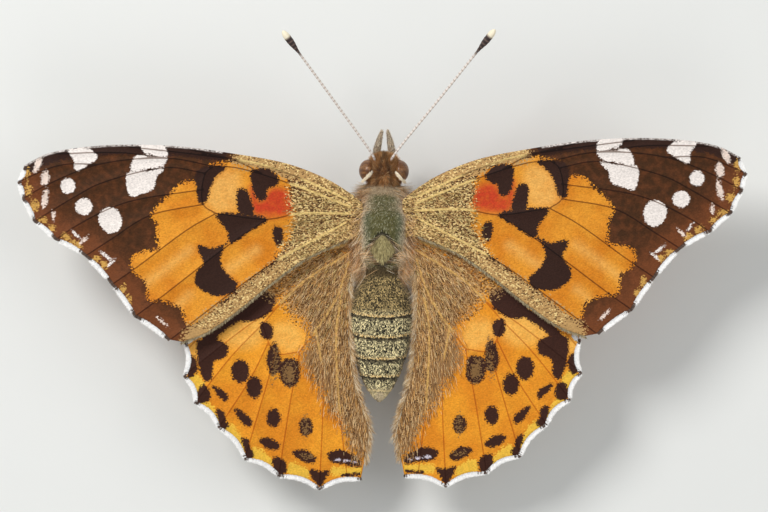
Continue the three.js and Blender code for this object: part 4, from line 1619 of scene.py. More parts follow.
    def hem(self, reach: float, tones: Sequence[Colour], per_place: int, sweep_back: float) -> Tufts:
        """Hair along the trailing edge, in mixed tones, combed along the edge.

        Args:
            reach: Length of the hair.
            tones: The colours to choose from.
            per_place: Hairs at each root.
            sweep_back: How far the hair is combed along the edge, against straight out.

        Returns:
            The tufts.
        """
        line = smooth_path(self.plan.trailing, 0.03)
        run, out = self.outward(line)
        tint = chosen(self.rng, tones, len(line))
        uneven = reach * self.rng.uniform(0.5, 1.2, len(line))
        return self.edge_hair(line, unit(out - run * sweep_back), tint, uneven, per_place, 0.026, 0.2)

    def nap(self, area: Mark, count: int, source: tuple[float, float], tones: Sequence[Colour]) -> Tufts:
        """Long hair lying on the wing's upper face and fanning out from its hinge.

        Args:
            area: Where it grows.
            count: How many places are tried.
            source: The place on the plan that it fans out from.
            tones: The colours to choose from.

        Returns:
            The tufts.
        """
        rng = self.rng
        flat = rng.uniform(*self.plan.limits(), (count, 2))
        grown = area.depth(flat) > rng.uniform(-0.9, 0.5, count)
        flat = flat[grown & inside_loop(flat, self.plan.outline())]
        total = len(flat)
        roots = self.to_frame(flat, 0.04)
        ahead = flat + unit(flat - np.asarray(source)) * 0.4
        lie = unit(self.to_frame(ahead, 0.12) - roots)
        lie += rng.normal(0.0, 0.16, (total, 3)) * (1.0, 1.0, 0.5)
        return Tufts(
            roots=roots, lie=lie, up=np.tile((0.0, 0.0, 1.0), (total, 1)),
            reach=NAP_REACH * rng.uniform(0.6, 1.15, total), breadth=np.full(total, 0.03),
            place=self.plan.bake_place(flat), tint=chosen(rng, tones, total),
        )


def build_wings(finishes: Finishes, maker: TuftMaker, rng: np.random.Generator) -> None:
    """Builds all four wings with their hair.

    Args:
        finishes: The materials.
        maker: Grows the tufts.
        rng: The random source.
    """
    for side in Side:
        hind, fore = Wing(HINDWING, side, rng), Wing(FOREWING, side, rng)
        hind.membrane(finishes)
        fore.membrane(finishes)
        fore_hair = [fore.fringe(), fore.hem(0.24, OLIVE, 3, 1.1)]
        hind_hair = [hind.fringe(), hind.hem(0.85, STRAW, 5, 2.6)]
        hind_hair.append(hind.nap(HINDWING.tan[0], 20000, (1.6, 6.0), BROWN))
        fore_hair.append(fore.nap(FOREWING_ROOT, 11000, (0.5, 4.3), GOLD))
        hind_hair.append(hind.nap(HINDWING_ROOT, 11000, (0.5, 3.0), GOLD + BROWN))
        for pair, hair, seed in (("forewing", fore_hair, 3), ("hindwing", hind_hair, 5)):
            tufts = Tufts.joined(*hair)
            piece = maker.grow(f"{pair}_{side.word}_hair", tufts, finishes.coat, 0.06, 0.12, 0.35, seed)
            settle(piece, "wing")


# Body


@dataclass(frozen=True)
class Ring:
    """One section of the body: its place, half width, top and bottom."""

    y: float
    half: float
    top: float
    bottom: float


SKIN_RINGS = (
    Ring(9.22, 0.1, 6.3, 6.1), Ring(9.1, 0.55, 6.8, 5.5), Ring(8.8, 0.95, 7.2, 5.1),
    Ring(8.2, 1.25, 7.55, 4.8), Ring(7.6, 1.3, 7.6, 4.75), Ring(7.0, 1.2, 7.4, 4.9),
    Ring(6.7, 1.15, 7.25, 5.1), Ring(6.4, 1.45, 7.4, 5.1), Ring(5.9, 1.75, 7.8, 4.9),
    Ring(5.2, 2.05, 8.2, 4.7), Ring(4.0, 2.35, 8.85, 4.35), Ring(2.5, 2.5, 9.1, 4.15),
    Ring(1.0, 2.4, 8.8, 4.15), Ring(-0.4, 2.15, 8.25, 4.4), Ring(-1.1, 1.85, 7.8, 4.7),
    Ring(-1.5, 1.8, 7.75, 4.75), Ring(-2.2, 2.15, 7.95, 4.45), Ring(-3.0, 2.5, 8.15, 4.25),
    Ring(-5.0, 2.85, 8.16, 4.05), Ring(-6.8, 2.7, 7.78, 4.05), Ring(-8.6, 2.2, 7.28, 4.25),
    Ring(-10.2, 1.65, 6.68, 4.45), Ring(-11.4, 1.0, 6.25, 4.75), Ring(-12.0, 0.55, 5.95, 5.0),
    Ring(-12.3, 0.2, 5.6, 5.3),
)
SEGMENT_EDGES = (-1.5, -3.0, -4.85, -6.7, -8.6, -10.15, -11.4, -12.3)
SEGMENTS = tuple(zip(SEGMENT_EDGES, SEGMENT_EDGES[1:]))
SKIN_AROUND = 96
HEAD_BACK = 6.75
WAIST = -1.35
BODY_MIDDLE_Z = 6.2
BACK_Z = 6.6
SHOULDERS = ((1.95, 3.9), (-1.95, 3.9))
SHOULDER_SIZE = 0.75
SCUTELLUM_Y = 1.0
SCUTELLUM_HALF = (1.3, 1.5)
FLANK_TONES = (paint(232, 186, 130), paint(255, 238, 206), paint(250, 214, 160), paint(170, 122, 78))


class Zone(Enum):
    """The parts of the body's coat, from front to back."""

    HEAD = "head"
    THORAX = "thorax"
    ABDOMEN = "abdomen"


def scutellum_depth(x: np.ndarray, y: np.ndarray) -> np.ndarray:
    """How far inside the rounded rhomb of the rear shield each place is, from 1 at its middle to 0."""
    half_x, half_y = SCUTELLUM_HALF
    return 1.0 - (np.abs(x / half_x) ** 1.25 + np.abs((y - SCUTELLUM_Y) / half_y) ** 1.25)


def mixed(share: np.ndarray, first: np.ndarray | Colour, second: np.ndarray | Colour) -> np.ndarray:
    """Goes from one colour to another by a share at each place."""
    share = np.clip(share, 0.0, 1.0)[:, None]
    return np.asarray(first) * (1.0 - share) + np.asarray(second) * share


class CoatColours:
    """The colours of the skin and coat at some places on the body."""

    def __init__(self, places: np.ndarray, lift: np.ndarray) -> None:
        """Draws the chance that varies the colours.

        Args:
            places: Places in the body's own frame.
            lift: Upward share of the skin's normal there.
        """
        self.x, self.y = places[:, 0], places[:, 1]
        self.lift = lift
        self.luck = np.random.default_rng(71).uniform(0.0, 1.0, len(places))
        self.flank = np.clip(1.0 - lift, 0.0, 1.6)

    def between(self, first: Colour, second: Colour) -> np.ndarray:
        """A random mixture of two colours at each place."""
        return mixed(self.luck, first, second)

    def thorax(self) -> np.ndarray:
        """Olive back with a paler outlined rhomb, tan flanks and a dark waist.

        Returns:
            One colour for each place.
        """
        x, y, luck = self.x, self.y, self.luck
        back = self.between(paint(86, 84, 46), paint(126, 118, 74))
        bluish = self.between(paint(94, 108, 88), paint(146, 154, 132))
        back = mixed((np.abs(x) - 0.9) * 0.7 * (y > 1.5), back, bluish)
        back = mixed((luck > 0.88) * 0.8, back, paint(190, 188, 156))
        flank = self.between(paint(184, 142, 96), paint(250, 230, 198))
        colour = mixed((self.flank - 0.2) * 4.0 + luck * 0.5, back, flank)
        rhomb = scutellum_depth(x, y)
        colour = mixed((np.abs(rhomb) < 0.18) * 0.9, colour, paint(48, 44, 28))
        colour = mixed((rhomb > 0.18) * 0.9, colour, self.between(paint(144, 128, 82), paint(204, 188, 132)))
        waist = np.clip((-0.2 - y) / 0.5, 0, 1) * (np.abs(x) < 1.4)
        return mixed(waist, colour, self.between(paint(58, 46, 28), paint(112, 92, 58)))

    def head(self) -> np.ndarray:
        """Rusty brown with lighter flanks, pale hairs and two dark lines.

        Returns:
            One colour for each place.
        """
        crown = self.between(paint(104, 64, 32), paint(186, 122, 62))
        colour = mixed(self.flank * 0.9, crown, paint(196, 150, 98))
        colour = mixed((self.luck > 0.85) * 0.8, colour, paint(214, 180, 130))
        lines = np.abs(np.abs(self.x) - 0.45 + (self.y - 7.2) * 0.2) < 0.13
        return mixed(lines * 0.6, colour, paint(48, 32, 22))

    def abdomen(self) -> np.ndarray:
        """Dark with pale specks, a gold band and a band of painted shadow on each segment, and a pale tip.

        Returns:
            One colour for each place.
        """
        y, luck = self.y, self.luck
        scale = np.where(luck > 0.78, 1.0, np.where(luck > 0.55, 0.62, np.where(luck > 0.38, 0.3, 0.0)))
        colour = mixed(scale, paint(30, 26, 18), paint(248, 230, 174))
        colour = mixed((y + 4.9) / 0.8, colour, mixed(scale, paint(40, 32, 18), paint(200, 172, 114)))
        colour = mixed(self.flank * 1.4 - 0.5, colour, self.between(paint(196, 168, 122), paint(128, 98, 64)))
        bowed = y - 0.05 * self.x ** 2
        band = self.between(paint(206, 164, 92), paint(236, 212, 158))
        for front, back in SEGMENTS[1:]:
            inside = (bowed <= front) & (bowed > back)
            # Painted shadow: a dark band along the front of each hinder segment, under the overlapping rear
            # edge of the segment before.
            overlap_shadow = inside & (bowed > front - 0.3) & (front < -4.0)
            gold = inside & (bowed < back + 0.14 + 0.08 * luck)
            colour = mixed(overlap_shadow * 0.85, colour, paint(40, 30, 20))
            colour = mixed(gold * 0.9, colour, band)
        return mixed((-11.0 - y) / 0.5, colour, self.between(paint(222, 206, 164), paint(186, 166, 116)))

    def whole(self) -> np.ndarray:
        """The whole body's colours, with a pale collar and belly.

        Returns:
            One colour for each place.
        """
        y, luck = self.y, self.luck
        colour = mixed((y - WAIST) / 0.3 + 0.5, self.abdomen(), self.thorax())
        collar = self.between(paint(222, 200, 164), paint(150, 120, 84))
        colour = mixed((y - 5.7) / 0.4 + luck * 0.4, colour, collar)
        colour = mixed((y - HEAD_BACK) / 0.2 + 0.3, colour, self.head())
        belly = self.between(paint(214, 196, 160), paint(178, 156, 118))
        return mixed((-self.lift - 0.15) / 0.4, colour, belly)


class BodyBuilder:
    """Builds the body's one skin and the coat on it."""

    def __init__(self, finishes: Finishes, maker: TuftMaker, rng: np.random.Generator) -> None:
        """Samples the skin.

        Args:
            finishes: The materials.
            maker: Grows the tufts.
            rng: The random source.
        """
        self.finishes, self.maker, self.rng = finishes, maker, rng
        rings = smooth_path([(r.y, r.half, r.top, r.bottom) for r in SKIN_RINGS], 0.085)
        self.rings = len(rings)
        y, half, top, bottom = np.repeat(rings, SKIN_AROUND, axis=0).T
        around = np.tile(full_turn(SKIN_AROUND), self.rings)
        step = self.segment_step(y)
        squareness = 1.0 - 0.2 * np.clip(WAIST - y, 0.0, 1.0)
        x = (half + step) * np.sign(np.sin(around)) * np.abs(np.sin(around)) ** squareness
        z = (top + bottom) / 2 + ((top - bottom) / 2 + step) * np.cos(around)
        back = z > BACK_Z
        for across, forward in SHOULDERS:
            z = z + 0.2 * np.exp(-((x - across) ** 2 + (y - forward) ** 2) / SHOULDER_SIZE ** 2) * back
        rhomb = scutellum_depth(x, y)
        z = z + back * (0.3 * np.clip(rhomb / 0.6, 0.0, 1.0) ** 0.7 - 0.12 * np.exp(-((rhomb / 0.13) ** 2)))
        self.points = np.column_stack([x, y, z])
        self.normals = self.ring_normals()

    @staticmethod
    def segment_step(y: np.ndarray) -> np.ndarray:
        """How far the skin stands out behind each segment's edge, easing away before the next.

        Args:
            y: Places along the body.

        Returns:
            One step for each place.
        """
        step = np.zeros(len(y))
        for front, back in SEGMENTS:
            share = (front - y) / (front - back)
            step += np.where((share >= 0) & (share < 1), 0.07 * np.minimum(share * 1.2, 1.0) - 0.035, 0.0)
        return step * np.clip((-1.6 - y) / 0.4, 0.0, 1.0) * np.clip((y + 12.2) / 0.5, 0.0, 1.0)

    def grid(self) -> np.ndarray:
        """The skin's points by ring and spoke."""
        return self.points.reshape(self.rings, SKIN_AROUND, 3)

    def ring_normals(self) -> np.ndarray:
        """Outward normals of the skin's points.

        Returns:
            One normal for each point.
        """
        grid = self.grid()
        turning = np.roll(grid, -1, axis=1) - np.roll(grid, 1, axis=1)
        normals = unit(np.cross(np.gradient(grid, axis=0), turning).reshape(-1, 3))
        outward = self.points * (1.0, 0.0, 1.0) - (0.0, 0.0, BODY_MIDDLE_Z)
        flip = np.sign(np.sum(normals * outward, axis=1))
        return normals * np.where(flip == 0, 1.0, flip)[:, None]

    def skin(self) -> None:
        """Builds the one skin under the coat."""
        faces = [face[::-1] for face in ring_faces(self.rings, SKIN_AROUND)]
        tint = CoatColours(self.points, self.normals[:, 2]).whole() * 0.6
        values = {"tint": tint, "along": np.full(len(self.points), 0.3)}
        piece = make_piece("body_skin", lean(self.points), faces, [self.finishes.skin], values)
        settle(piece, "body_coat", "head", "thorax", "abdomen")

    def scatter(self, zone: Zone, count: int, reach: float, rise: float, breadth: float,
                comb: Callable[[np.ndarray], np.ndarray]) -> Tufts:
        """Scatters tufts evenly over one zone of the skin.

        Args:
            zone: The part of the body.
            count: How many tufts.
            reach: Their length.
            rise: How far they stand off the skin, from 0 to 1.
            breadth: Their width.
            comb: Their wanted flow at given places, before it's laid on the skin.

        Returns:
            The tufts.
        """
        y = self.points[:, 1]
        limits = {Zone.HEAD: y > HEAD_BACK, Zone.THORAX: (y <= HEAD_BACK) & (y > WAIST),
                  Zone.ABDOMEN: y <= WAIST}
        grid = self.grid()
        along = np.linalg.norm(np.gradient(grid, axis=0), axis=2).ravel()
        turning = np.linalg.norm(np.roll(grid, -1, axis=1) - grid, axis=2).ravel()
        weight = along * turning * limits[zone]
        pick = self.rng.choice(len(y), count, p=weight / weight.sum())
        ring, spoke = np.divmod(pick, SKIN_AROUND)
        ring = np.minimum(ring, self.rings - 2)
        a, b = self.rng.uniform(0.0, 1.0, (2, count, 1))
        corner = grid[ring, spoke]
        beside = grid[ring, (spoke + 1) % SKIN_AROUND]
        place = corner + a * (grid[ring + 1, spoke] - corner) + b * (beside - corner)
        normal = self.normals[pick]
        flow = comb(place)
        flow = unit(flow - normal * np.sum(flow * normal, axis=1)[:, None])
        lie = flow * (1.0 - rise) + normal * rise
        lie += self.rng.normal(0.0, 0.1, (count, 3))
        where = np.column_stack([(spoke + b[:, 0]) / SKIN_AROUND, (ring + a[:, 0]) / self.rings])
        return Tufts(
            roots=lean(place - normal * 0.02), lie=lean(lie), up=lean(normal),
            reach=reach * self.rng.uniform(0.65, 1.15, count), breadth=np.full(count, breadth),
            place=on_bake_map(where), tint=CoatColours(place, normal[:, 2]).whole(),
        )

    def flank_hair(self) -> Tufts:
        """Long hair of the flanks, tan and cream where it shows from above.

        Returns:
            The tufts.
        """
        hair = self.scatter(Zone.THORAX, 15000, 1.45, 0.36, 0.03, self.outward_flow)
        hair = hair.only(np.where(hair.up[:, 2] + self.rng.normal(0, 0.08, len(hair)) < 0.58)[0])
        above = hair.up[:, 2] > -0.1
        hair.tint[above] = chosen(self.rng, FLANK_TONES, int(above.sum()))
        return hair

    def coat(self) -> None:
        """Builds the coat: fur on the thorax and head, flat scales on the abdomen."""
        short = self.scatter(Zone.THORAX, 19000, 0.3, 0.18, 0.045, self.backward_flow)
        thorax = Tufts.joined(short, self.flank_hair())
        abdomen = self.scatter(Zone.ABDOMEN, 30000, 0.2, 0.12, 0.1, self.backward_flow)
        head = self.scatter(Zone.HEAD, 9000, 0.55, 0.5, 0.03, self.head_flow)
        for name, tufts, bend, tip, seed in (
            ("thorax_fur", thorax, 0.12, 0.2, 11),
            ("abdomen_scales", abdomen, 0.05, 0.6, 12),
            ("head_fur", head, 0.2, 0.2, 13),
        ):
            settle(self.maker.grow(name, tufts, self.finishes.coat, bend, 0.22, tip, seed), "body_coat")

    @staticmethod
    def backward_flow(places: np.ndarray) -> np.ndarray:
        """Hair flows backward and slightly outward.

        Args:
            places: Places on the body.

        Returns:
            One direction for each place.
        """
        x = places[:, 0]
        across = 0.22 * np.sign(x) * np.minimum(np.abs(x), 1.0)
        return np.column_stack([across, -np.ones(len(x)), np.zeros(len(x))])

    @staticmethod
    def outward_flow(places: np.ndarray) -> np.ndarray:
        """Long hair of the flanks flows outward over the wing roots and backward."""
        across = 1.5 * np.sign(places[:, 0])
        return np.column_stack([across, -np.ones(len(places)), np.full(len(places), 0.9)])

    @staticmethod
    def head_flow(places: np.ndarray) -> np.ndarray:
        """Hair of the head flows forward on the face and backward on the nape.

        Args:
            places: Places on the head.

        Returns:
            One direction for each place.
        """
        x, y = places[:, 0], places[:, 1]
        forward = np.clip((y - 7.5) * 1.4, -1.0, 1.0)
        return np.column_stack([0.8 * np.clip(x, -1.0, 1.0), forward, np.full(len(x), 0.5)])


# Head parts and legs


@dataclass(frozen=True)
class LegPlan:
    """The joints of one walking leg of the right side, from the hip to the toe."""

    name: str
    joints: Knots


LEGS = (
    LegPlan("midleg", ((1.1, 2.9, 5.0), (5.2, 4.3, 5.5), (7.8, 5.2, 0.6), (10.6, 6.4, 0.14))),
    LegPlan("hindleg", ((1.1, 0.4, 5.0), (4.7, -2.5, 5.2), (6.8, -5.3, 0.6), (8.4, -8.1, 0.14))),
)
FEELERS = {
    Side.LEFT: ((-0.6, 8.3, 6.6), (-0.75, 8.6, 6.9), (-1.02, 9.2, 7.6), (-4.3, 13.6, 9.3), (-7.6, 17.9, 10.9),
                (-9.05, 19.75, 11.6)),
    Side.RIGHT: ((0.45, 8.3, 6.6), (0.55, 8.6, 6.9), (0.8, 9.15, 7.6), (5.1, 14.7, 9.6), (7.95, 18.4, 11.0),
                 (9.4, 20.25, 11.7)),
}
EYE_CENTRE = (1.35, 7.85, 6.45)
EYE_HALF = (0.84, 0.98, 1.22)
EYE_COLUMNS = 56
EYE_ROWS = 36
PALP_PATH = ((0.55, 8.3, 5.6), (0.68, 9.3, 5.85), (0.52, 10.3, 6.4), (0.3, 11.2, 7.0))
PALP_TONES = (paint(206, 184, 154), paint(232, 214, 186), paint(132, 104, 78), paint(250, 242, 224),
              paint(244, 230, 204))
BRUSH_PATH = ((0.9, 4.9, 4.55), (0.95, 6.2, 4.3), (0.85, 7.2, 4.15))
BRUSH_TONES = (paint(214, 196, 160), paint(176, 150, 112), paint(140, 112, 80))
LEG_TONES = (paint(222, 206, 174), paint(190, 164, 124), paint(126, 98, 68))
TONGUE_TURNS = 1.9
TONGUE_CENTRE = (9.0, 4.4)
FOOT_RINGS = 5


@dataclass
class LimbBuilder:
    """Builds the eyes, feelers, palps, tongue and legs."""

    finishes: Finishes
    maker: TuftMaker
    rng: np.random.Generator

    def tube(self, name: str, path: np.ndarray, radii: np.ndarray, material: bpy.types.Material,
             around: int = 20, joint: np.ndarray | None = None) -> bpy.types.Object:
        """A round closed tube with its length and joints stored on it.

        Args:
            name: The piece's name.
            path: The middle line in the body's own frame.
            radii: One radius for each point.
            material: Its material.
            around: Points in each ring.
            joint: How near a joint each point of the path is, 0 to 1.

        Returns:
            The piece.
        """
        near = np.zeros(len(path)) if joint is None else joint
        values = {"along": np.repeat(np.linspace(0.0, 1.0, len(path)), around),
                  "under": np.tile(np.clip(-np.sin(full_turn(around)), 0.0, 1.0), len(path)),
                  "joint": np.repeat(near, around)}
        points = lean(sweep(path, radii, around))
        return make_piece(name, points, ring_faces(len(path), around), [material], values)

    def tube_coat(self, path: np.ndarray, radii: np.ndarray, count: int, reach: float, rise: float,
                  tones: Sequence[Colour], breadth: float = 0.05) -> Tufts:
        """Tufts around a tube, lying toward its tip.

        Args:
            path: The middle line in the body's own frame.
            radii: One radius for each point.
            count: How many tufts.
            reach: Their length.
            rise: How far they stand off, 0 to 1.
            tones: The colours to choose from.
            breadth: Their width.

        Returns:
            The tufts.
        """
        rng = self.rng
        pick = rng.integers(0, len(path) - 1, count)
        share = rng.uniform(0.0, 1.0, (count, 1))
        middle = path[pick] * (1 - share) + path[pick + 1] * share
        tangent = unit(path[pick + 1] - path[pick])
        out = rng.normal(0.0, 1.0, (count, 3))
        out = unit(out - tangent * np.sum(out * tangent, axis=1)[:, None])
        turn = (np.arctan2(out[:, 2], out[:, 0]) / (2 * math.pi)) % 1.0
        return Tufts(
            roots=lean(middle + out * (radii[pick, None] - 0.01)),
            lie=lean(tangent * (1 - rise) + out * rise), up=lean(out),
            reach=reach * rng.uniform(0.7, 1.15, count), breadth=np.full(count, breadth),
            place=on_bake_map(np.column_stack([turn, (pick + share[:, 0]) / len(path)])),
            tint=chosen(rng, tones, count),
        )

    def eye(self, side: Side) -> None:
        """Builds one smooth compound eye, flatter on its inner side.

        Args:
            side: The animal's side.
        """
        polar = np.linspace(0.0, math.pi, EYE_ROWS + 2)[1:-1]
        rays = [(math.sin(p) * math.cos(t), math.sin(p) * math.sin(t), math.cos(p))
                for p in polar for t in full_turn(EYE_COLUMNS)]
        points = np.array([*rays, (0.0, 0.0, 1.0), (0.0, 0.0, -1.0)]) * EYE_HALF
        points[:, 0] = np.where(points[:, 0] < 0, points[:, 0] * 0.6, points[:, 0]) * side.value
        points += np.asarray(EYE_CENTRE) * (side.value, 1, 1)
        top, bottom, last = len(rays), len(rays) + 1, len(rays) - EYE_COLUMNS
        faces = ring_faces(EYE_ROWS, EYE_COLUMNS, closed_ends=False)
        faces += [(top, (k + 1) % EYE_COLUMNS, k) for k in range(EYE_COLUMNS)]
        faces += [(bottom, last + k, last + (k + 1) % EYE_COLUMNS) for k in range(EYE_COLUMNS)]
        if side is Side.RIGHT:
            faces = [face[::-1] for face in faces]
        piece = make_piece(f"eye_{side.word}_globe", lean(points), faces, [self.finishes.eye])
        settle(piece, "eye", f"eye_{side.word}")

    def feeler(self, side: Side) -> None:
        """Builds one feeler with its club.

        Args:
            side: The animal's side.
        """
        path = smooth_path(FEELERS[side], 0.06)
        share = np.linspace(0.0, 1.0, len(path))
        radii = 0.104 + 0.05 * np.exp(-share * 40) + 0.008 * np.sin(share * FEELER_RINGS)
        club = np.clip((share - 0.83) / 0.1, 0.0, 1.0)
        radii += 0.2 * club * club * (3 - 2 * club)
        radii *= np.sqrt(np.clip(1.0 - ((share - 0.955) / 0.0452).clip(0.0) ** 2, 0.03, 1.0))
        piece = self.tube(f"antenna_{side.word}_shaft", path, radii, self.finishes.feeler)
        settle(piece, "antenna", f"antenna_{side.word}")

    def palp(self, side: Side) -> Tufts:
        """Builds one palp, and returns the hair on it.

        Args:
            side: The animal's side.

        Returns:
            The tufts.
        """
        path = smooth_path(side.mirrored(PALP_PATH), 0.08)
        share = np.linspace(0.0, 1.0, len(path))
        radii = 0.36 * np.sqrt(np.clip(1.0 - share, 0.02, 1.0)) * (0.75 + 0.25 * np.sin(share * math.pi))
        piece = self.tube(f"palp_{side.word}_core", path, radii, self.finishes.skin)
        store_values(piece.data, "tint", np.tile(paint(120, 98, 76), (len(piece.data.vertices), 1)))
        settle(piece, "body_coat", f"palp_{side.word}")
        return self.tube_coat(path, radii, 2200, 0.34, 0.14, PALP_TONES)

    def tongue(self) -> None:
        """Builds the tongue, coiled under the face."""
        turns = np.linspace(math.radians(100), math.radians(100 + 360 * TONGUE_TURNS), 140)
        radius = np.linspace(0.68, 0.2, len(turns))
        forward, up = TONGUE_CENTRE
        coil = np.column_stack([np.zeros(len(turns)), forward + radius * np.cos(turns),
                                up + radius * np.sin(turns)])
        path = smooth_path(np.vstack([(0.0, 8.3, 5.3), (0.0, 8.62, 5.2), coil]), 0.05)
        radii = np.interp(np.linspace(0, 1, len(path)), (0.0, 0.7, 1.0), (0.14, 0.1, 0.05))
        settle(self.tube("proboscis_coil", path, radii, self.finishes.tongue, around=16), "leg", "proboscis")

    def leg(self, plan: LegPlan, side: Side) -> Tufts:
        """Builds one walking leg with its claws.

        Args:
            plan: The leg's joints.
            side: The animal's side.

        Returns:
            The scales on it.
        """
        hip, knee, ankle, toe = np.asarray(side.mirrored(plan.joints))
        bow = knee + (ankle - knee) * 0.5 + (0.25 * side.value, 0.0, 0.1)
        path = smooth_path([hip, hip * 0.5 + knee * 0.5 + (0, 0, 0.15), knee, bow, ankle,
                            ankle * 0.6 + toe * 0.4 - (0, 0, 0.18), toe], 0.06)
        travelled = travelled_along(path)
        length = travelled[-1]
        at_knee = travelled[np.argmin(np.linalg.norm(path - knee, axis=1))]
        at_ankle = travelled[np.argmin(np.linalg.norm(path - ankle, axis=1))]
        stations = (0, at_knee * 0.35, at_knee, at_knee + 0.4, at_ankle - 0.2, at_ankle, length)
        radii = np.interp(travelled, stations, (0.24, 0.3, 0.2, 0.17, 0.16, 0.15, 0.115))
        foot = np.clip((travelled - at_ankle) / (length - at_ankle), 0.0, 1.0)
        ringed = np.mod(foot * FOOT_RINGS, 1.0)
        radii += np.where(foot > 0, 0.025 * (ringed - 0.4), 0.0)
        radii *= np.sqrt(np.clip((length - travelled) / 0.1, 0.05, 1.0))
        path[:, 2] = np.maximum(path[:, 2], radii + FLOOR_GAP)
        joint = np.maximum(np.exp(-(((travelled - at_knee) / 0.18) ** 2)),
                           np.exp(-(((travelled - at_ankle) / 0.14) ** 2)))
        joint = np.maximum(joint, (foot > 0.02) & (ringed > 0.85))
        name = f"{plan.name}_{side.word}"
        piece = self.tube(f"{name}_limb", path, radii, self.finishes.leg, around=18, joint=joint)
        settle(piece, "leg", *(f"{plan.name}_{part}_{side.word}" for part in ("femur", "tibia", "tarsus")))
        for k, spread in enumerate((-1.0, 1.0)):
            self.claw(f"{name}_claw_{k}", path, spread)
        return self.tube_coat(path, radii, 1500, 0.16, 0.14, LEG_TONES)

    def claw(self, name: str, path: np.ndarray, spread: float) -> None:
        """Builds one small hooked claw at the end of a foot.

        Args:
            name: The piece's name.
            path: The foot's middle line.
            spread: Which way it spreads, 1 or -1.
        """
        tip, before = path[-1], path[-6]
        ahead = (tip - before) / np.linalg.norm(tip - before)
        ahead[2] = 0.0
        side = np.array([-ahead[1], ahead[0], 0.0]) * spread
        bend = tip + ahead * 0.12 + side * 0.08
        line = smooth_path([tip - ahead * 0.1, bend, tip + ahead * 0.24 + side * 0.1 - (0, 0, 0.05)], 0.03)
        radii = np.linspace(0.045, 0.008, len(line))
        line[:, 2] = np.maximum(line[:, 2], radii + FLOOR_GAP)
        settle(self.tube(name, line, radii, self.finishes.tongue, around=8), "leg")

    def brush_leg(self, side: Side) -> Tufts:
        """Builds one small folded foreleg, and returns its long hair.

        Args:
            side: The animal's side.

        Returns:
            The tufts.
        """
        path = smooth_path(side.mirrored(BRUSH_PATH), 0.08)
        radii = np.interp(np.linspace(0, 1, len(path)), (0.0, 0.5, 1.0), (0.18, 0.17, 0.07))
        piece = self.tube(f"foreleg_{side.word}_limb", path, radii, self.finishes.leg)
        settle(piece, "leg", f"foreleg_{side.word}")
        return self.tube_coat(path, radii, 900, 0.4, 0.3, BRUSH_TONES, breadth=0.04)

    def eye_rim(self, side: Side) -> Tufts:
        """A pale crescent of scales over the back of one eye, from its inner edge out and down.

        Args:
            side: The animal's side.

        Returns:
            The tufts.
        """
        share = self.rng.uniform(0.0, 1.0, 900)
        stray = self.rng.normal(0.0, 0.045, (2, len(share)))
        x = 1.0 + 0.78 * share + stray[0]
        y = 7.82 - 0.82 * share ** 0.8 + stray[1]
        across, forward = (x - EYE_CENTRE[0]) / EYE_HALF[0], (y - EYE_CENTRE[1]) / EYE_HALF[1]
        z = EYE_CENTRE[2] + EYE_HALF[2] * np.sqrt(np.clip(1.0 - across ** 2 - forward ** 2, 0.0, 1.0))
        every = (len(share), 1)
        return Tufts(
            roots=lean(np.column_stack([x * side.value, y, z])),
            lie=lean(np.tile((0.5 * side.value, -0.8, 0.1), every)),
            up=lean(np.column_stack([across * side.value, forward, np.full(len(share), 0.6)])),
            reach=self.rng.uniform(0.16, 0.28, len(share)), breadth=np.full(len(share), 0.045),
            place=np.column_stack([0.2 + 0.1 * share, np.full(len(share), 0.08)]),
            tint=np.tile(paint(240, 226, 200), every),
        )

    def build(self) -> None:
        """Builds every limb and the hair on them."""
        leg_hair, face_hair = [], []
        for side in Side:
            self.eye(side)
            self.feeler(side)
            face_hair.append(self.palp(side))
            leg_hair.append(self.brush_leg(side))
            leg_hair += [self.leg(plan, side) for plan in LEGS]
        self.tongue()
        face_hair += [self.eye_rim(side) for side in Side]
        for name, hair, slot, seed in (
            ("leg_scales", leg_hair, "leg", 21),
            ("face_hair", face_hair, "body_coat", 22),
        ):
            piece = self.maker.grow(name, Tufts.joined(*hair), self.finishes.coat, 0.08, 0.15, 0.3, seed)
            rest_on_floor(piece)
            settle(piece, slot)


# Studio


@dataclass(frozen=True)
class Lamp:
    """One soft area light."""

    name: str
    place: tuple[float, float, float]
    side: float
    watts: float


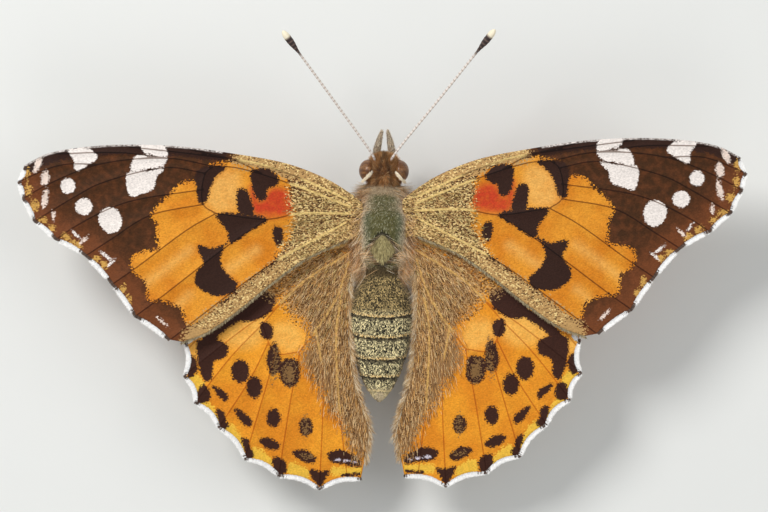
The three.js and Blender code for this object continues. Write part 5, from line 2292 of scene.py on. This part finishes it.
CAMERA_X = 0.17
CAMERA_Y = 0.39
CAMERA_ABOVE = 0.5
CAMERA_LENS = 268.2
CAMERA_SENSOR = 36.0
CAMERA_NEAR = 0.01
SUBJECT_Z = 8.3
FLOOR_SIZE = 1.6
AIR_COLOUR = (0.92, 0.96, 1.0, 1.0)
AIR_STRENGTH = 0.38
LAMPS = (
    Lamp("key", (-0.2, 0.2, 0.3), 0.16, 1.25),
    Lamp("fill", (0.26, 0.05, 0.3), 0.3, 0.35),
    Lamp("back", (0.05, -0.3, 0.28), 0.25, 0.25),
)


def build_floor(material: bpy.types.Material) -> None:
    """The plain floor that the animal stands on.

    Args:
        material: The floor's material.
    """
    bpy.ops.mesh.primitive_plane_add(size=FLOOR_SIZE, location=(0.0, 0.0, 0.0))
    floor = bpy.context.object
    floor.name = "floor"
    floor.data.materials.append(material)


def build_lights() -> None:
    """Three soft lamps and a pale sky."""
    target = Vector((0.0, 0.0, SUBJECT_Z * MM))
    for lamp in LAMPS:
        data = bpy.data.lights.new(lamp.name, "AREA")
        data.shape, data.size, data.energy = "DISK", lamp.side, lamp.watts
        light = add_object(lamp.name, data)
        light.location = lamp.place
        light.rotation_euler = (target - Vector(lamp.place)).to_track_quat("-Z", "Y").to_euler()
    world = bpy.data.worlds.new("Studio air")
    world.use_nodes = True
    air = world.node_tree.nodes["Background"].inputs
    air["Color"].default_value = AIR_COLOUR
    air["Strength"].default_value = AIR_STRENGTH
    bpy.context.scene.world = world
    bpy.context.scene.view_settings.view_transform = "Standard"


def build_camera() -> None:
    """The camera, looking straight down."""
    data = bpy.data.cameras.new("Camera")
    data.lens, data.sensor_width, data.clip_start = CAMERA_LENS, CAMERA_SENSOR, CAMERA_NEAR
    camera = add_object("Camera", data)
    camera.location = (CAMERA_X * MM, CAMERA_Y * MM, CAMERA_ABOVE + SUBJECT_Z * MM)
    bpy.context.scene.camera = camera


def main() -> None:
    """Loads the frame, dresses the animal and sets up the studio."""
    logging.basicConfig(level=logging.INFO, format="%(name)s %(message)s")
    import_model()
    rng = np.random.default_rng(20)
    finishes = Finishes()
    maker = TuftMaker()
    build_wings(finishes, maker, rng)
    body = BodyBuilder(finishes, maker, rng)
    body.skin()
    body.coat()
    LimbBuilder(finishes, maker, rng).build()
    build_floor(finishes.floor)
    build_lights()
    build_camera()


if __name__ == "__main__":
    main()
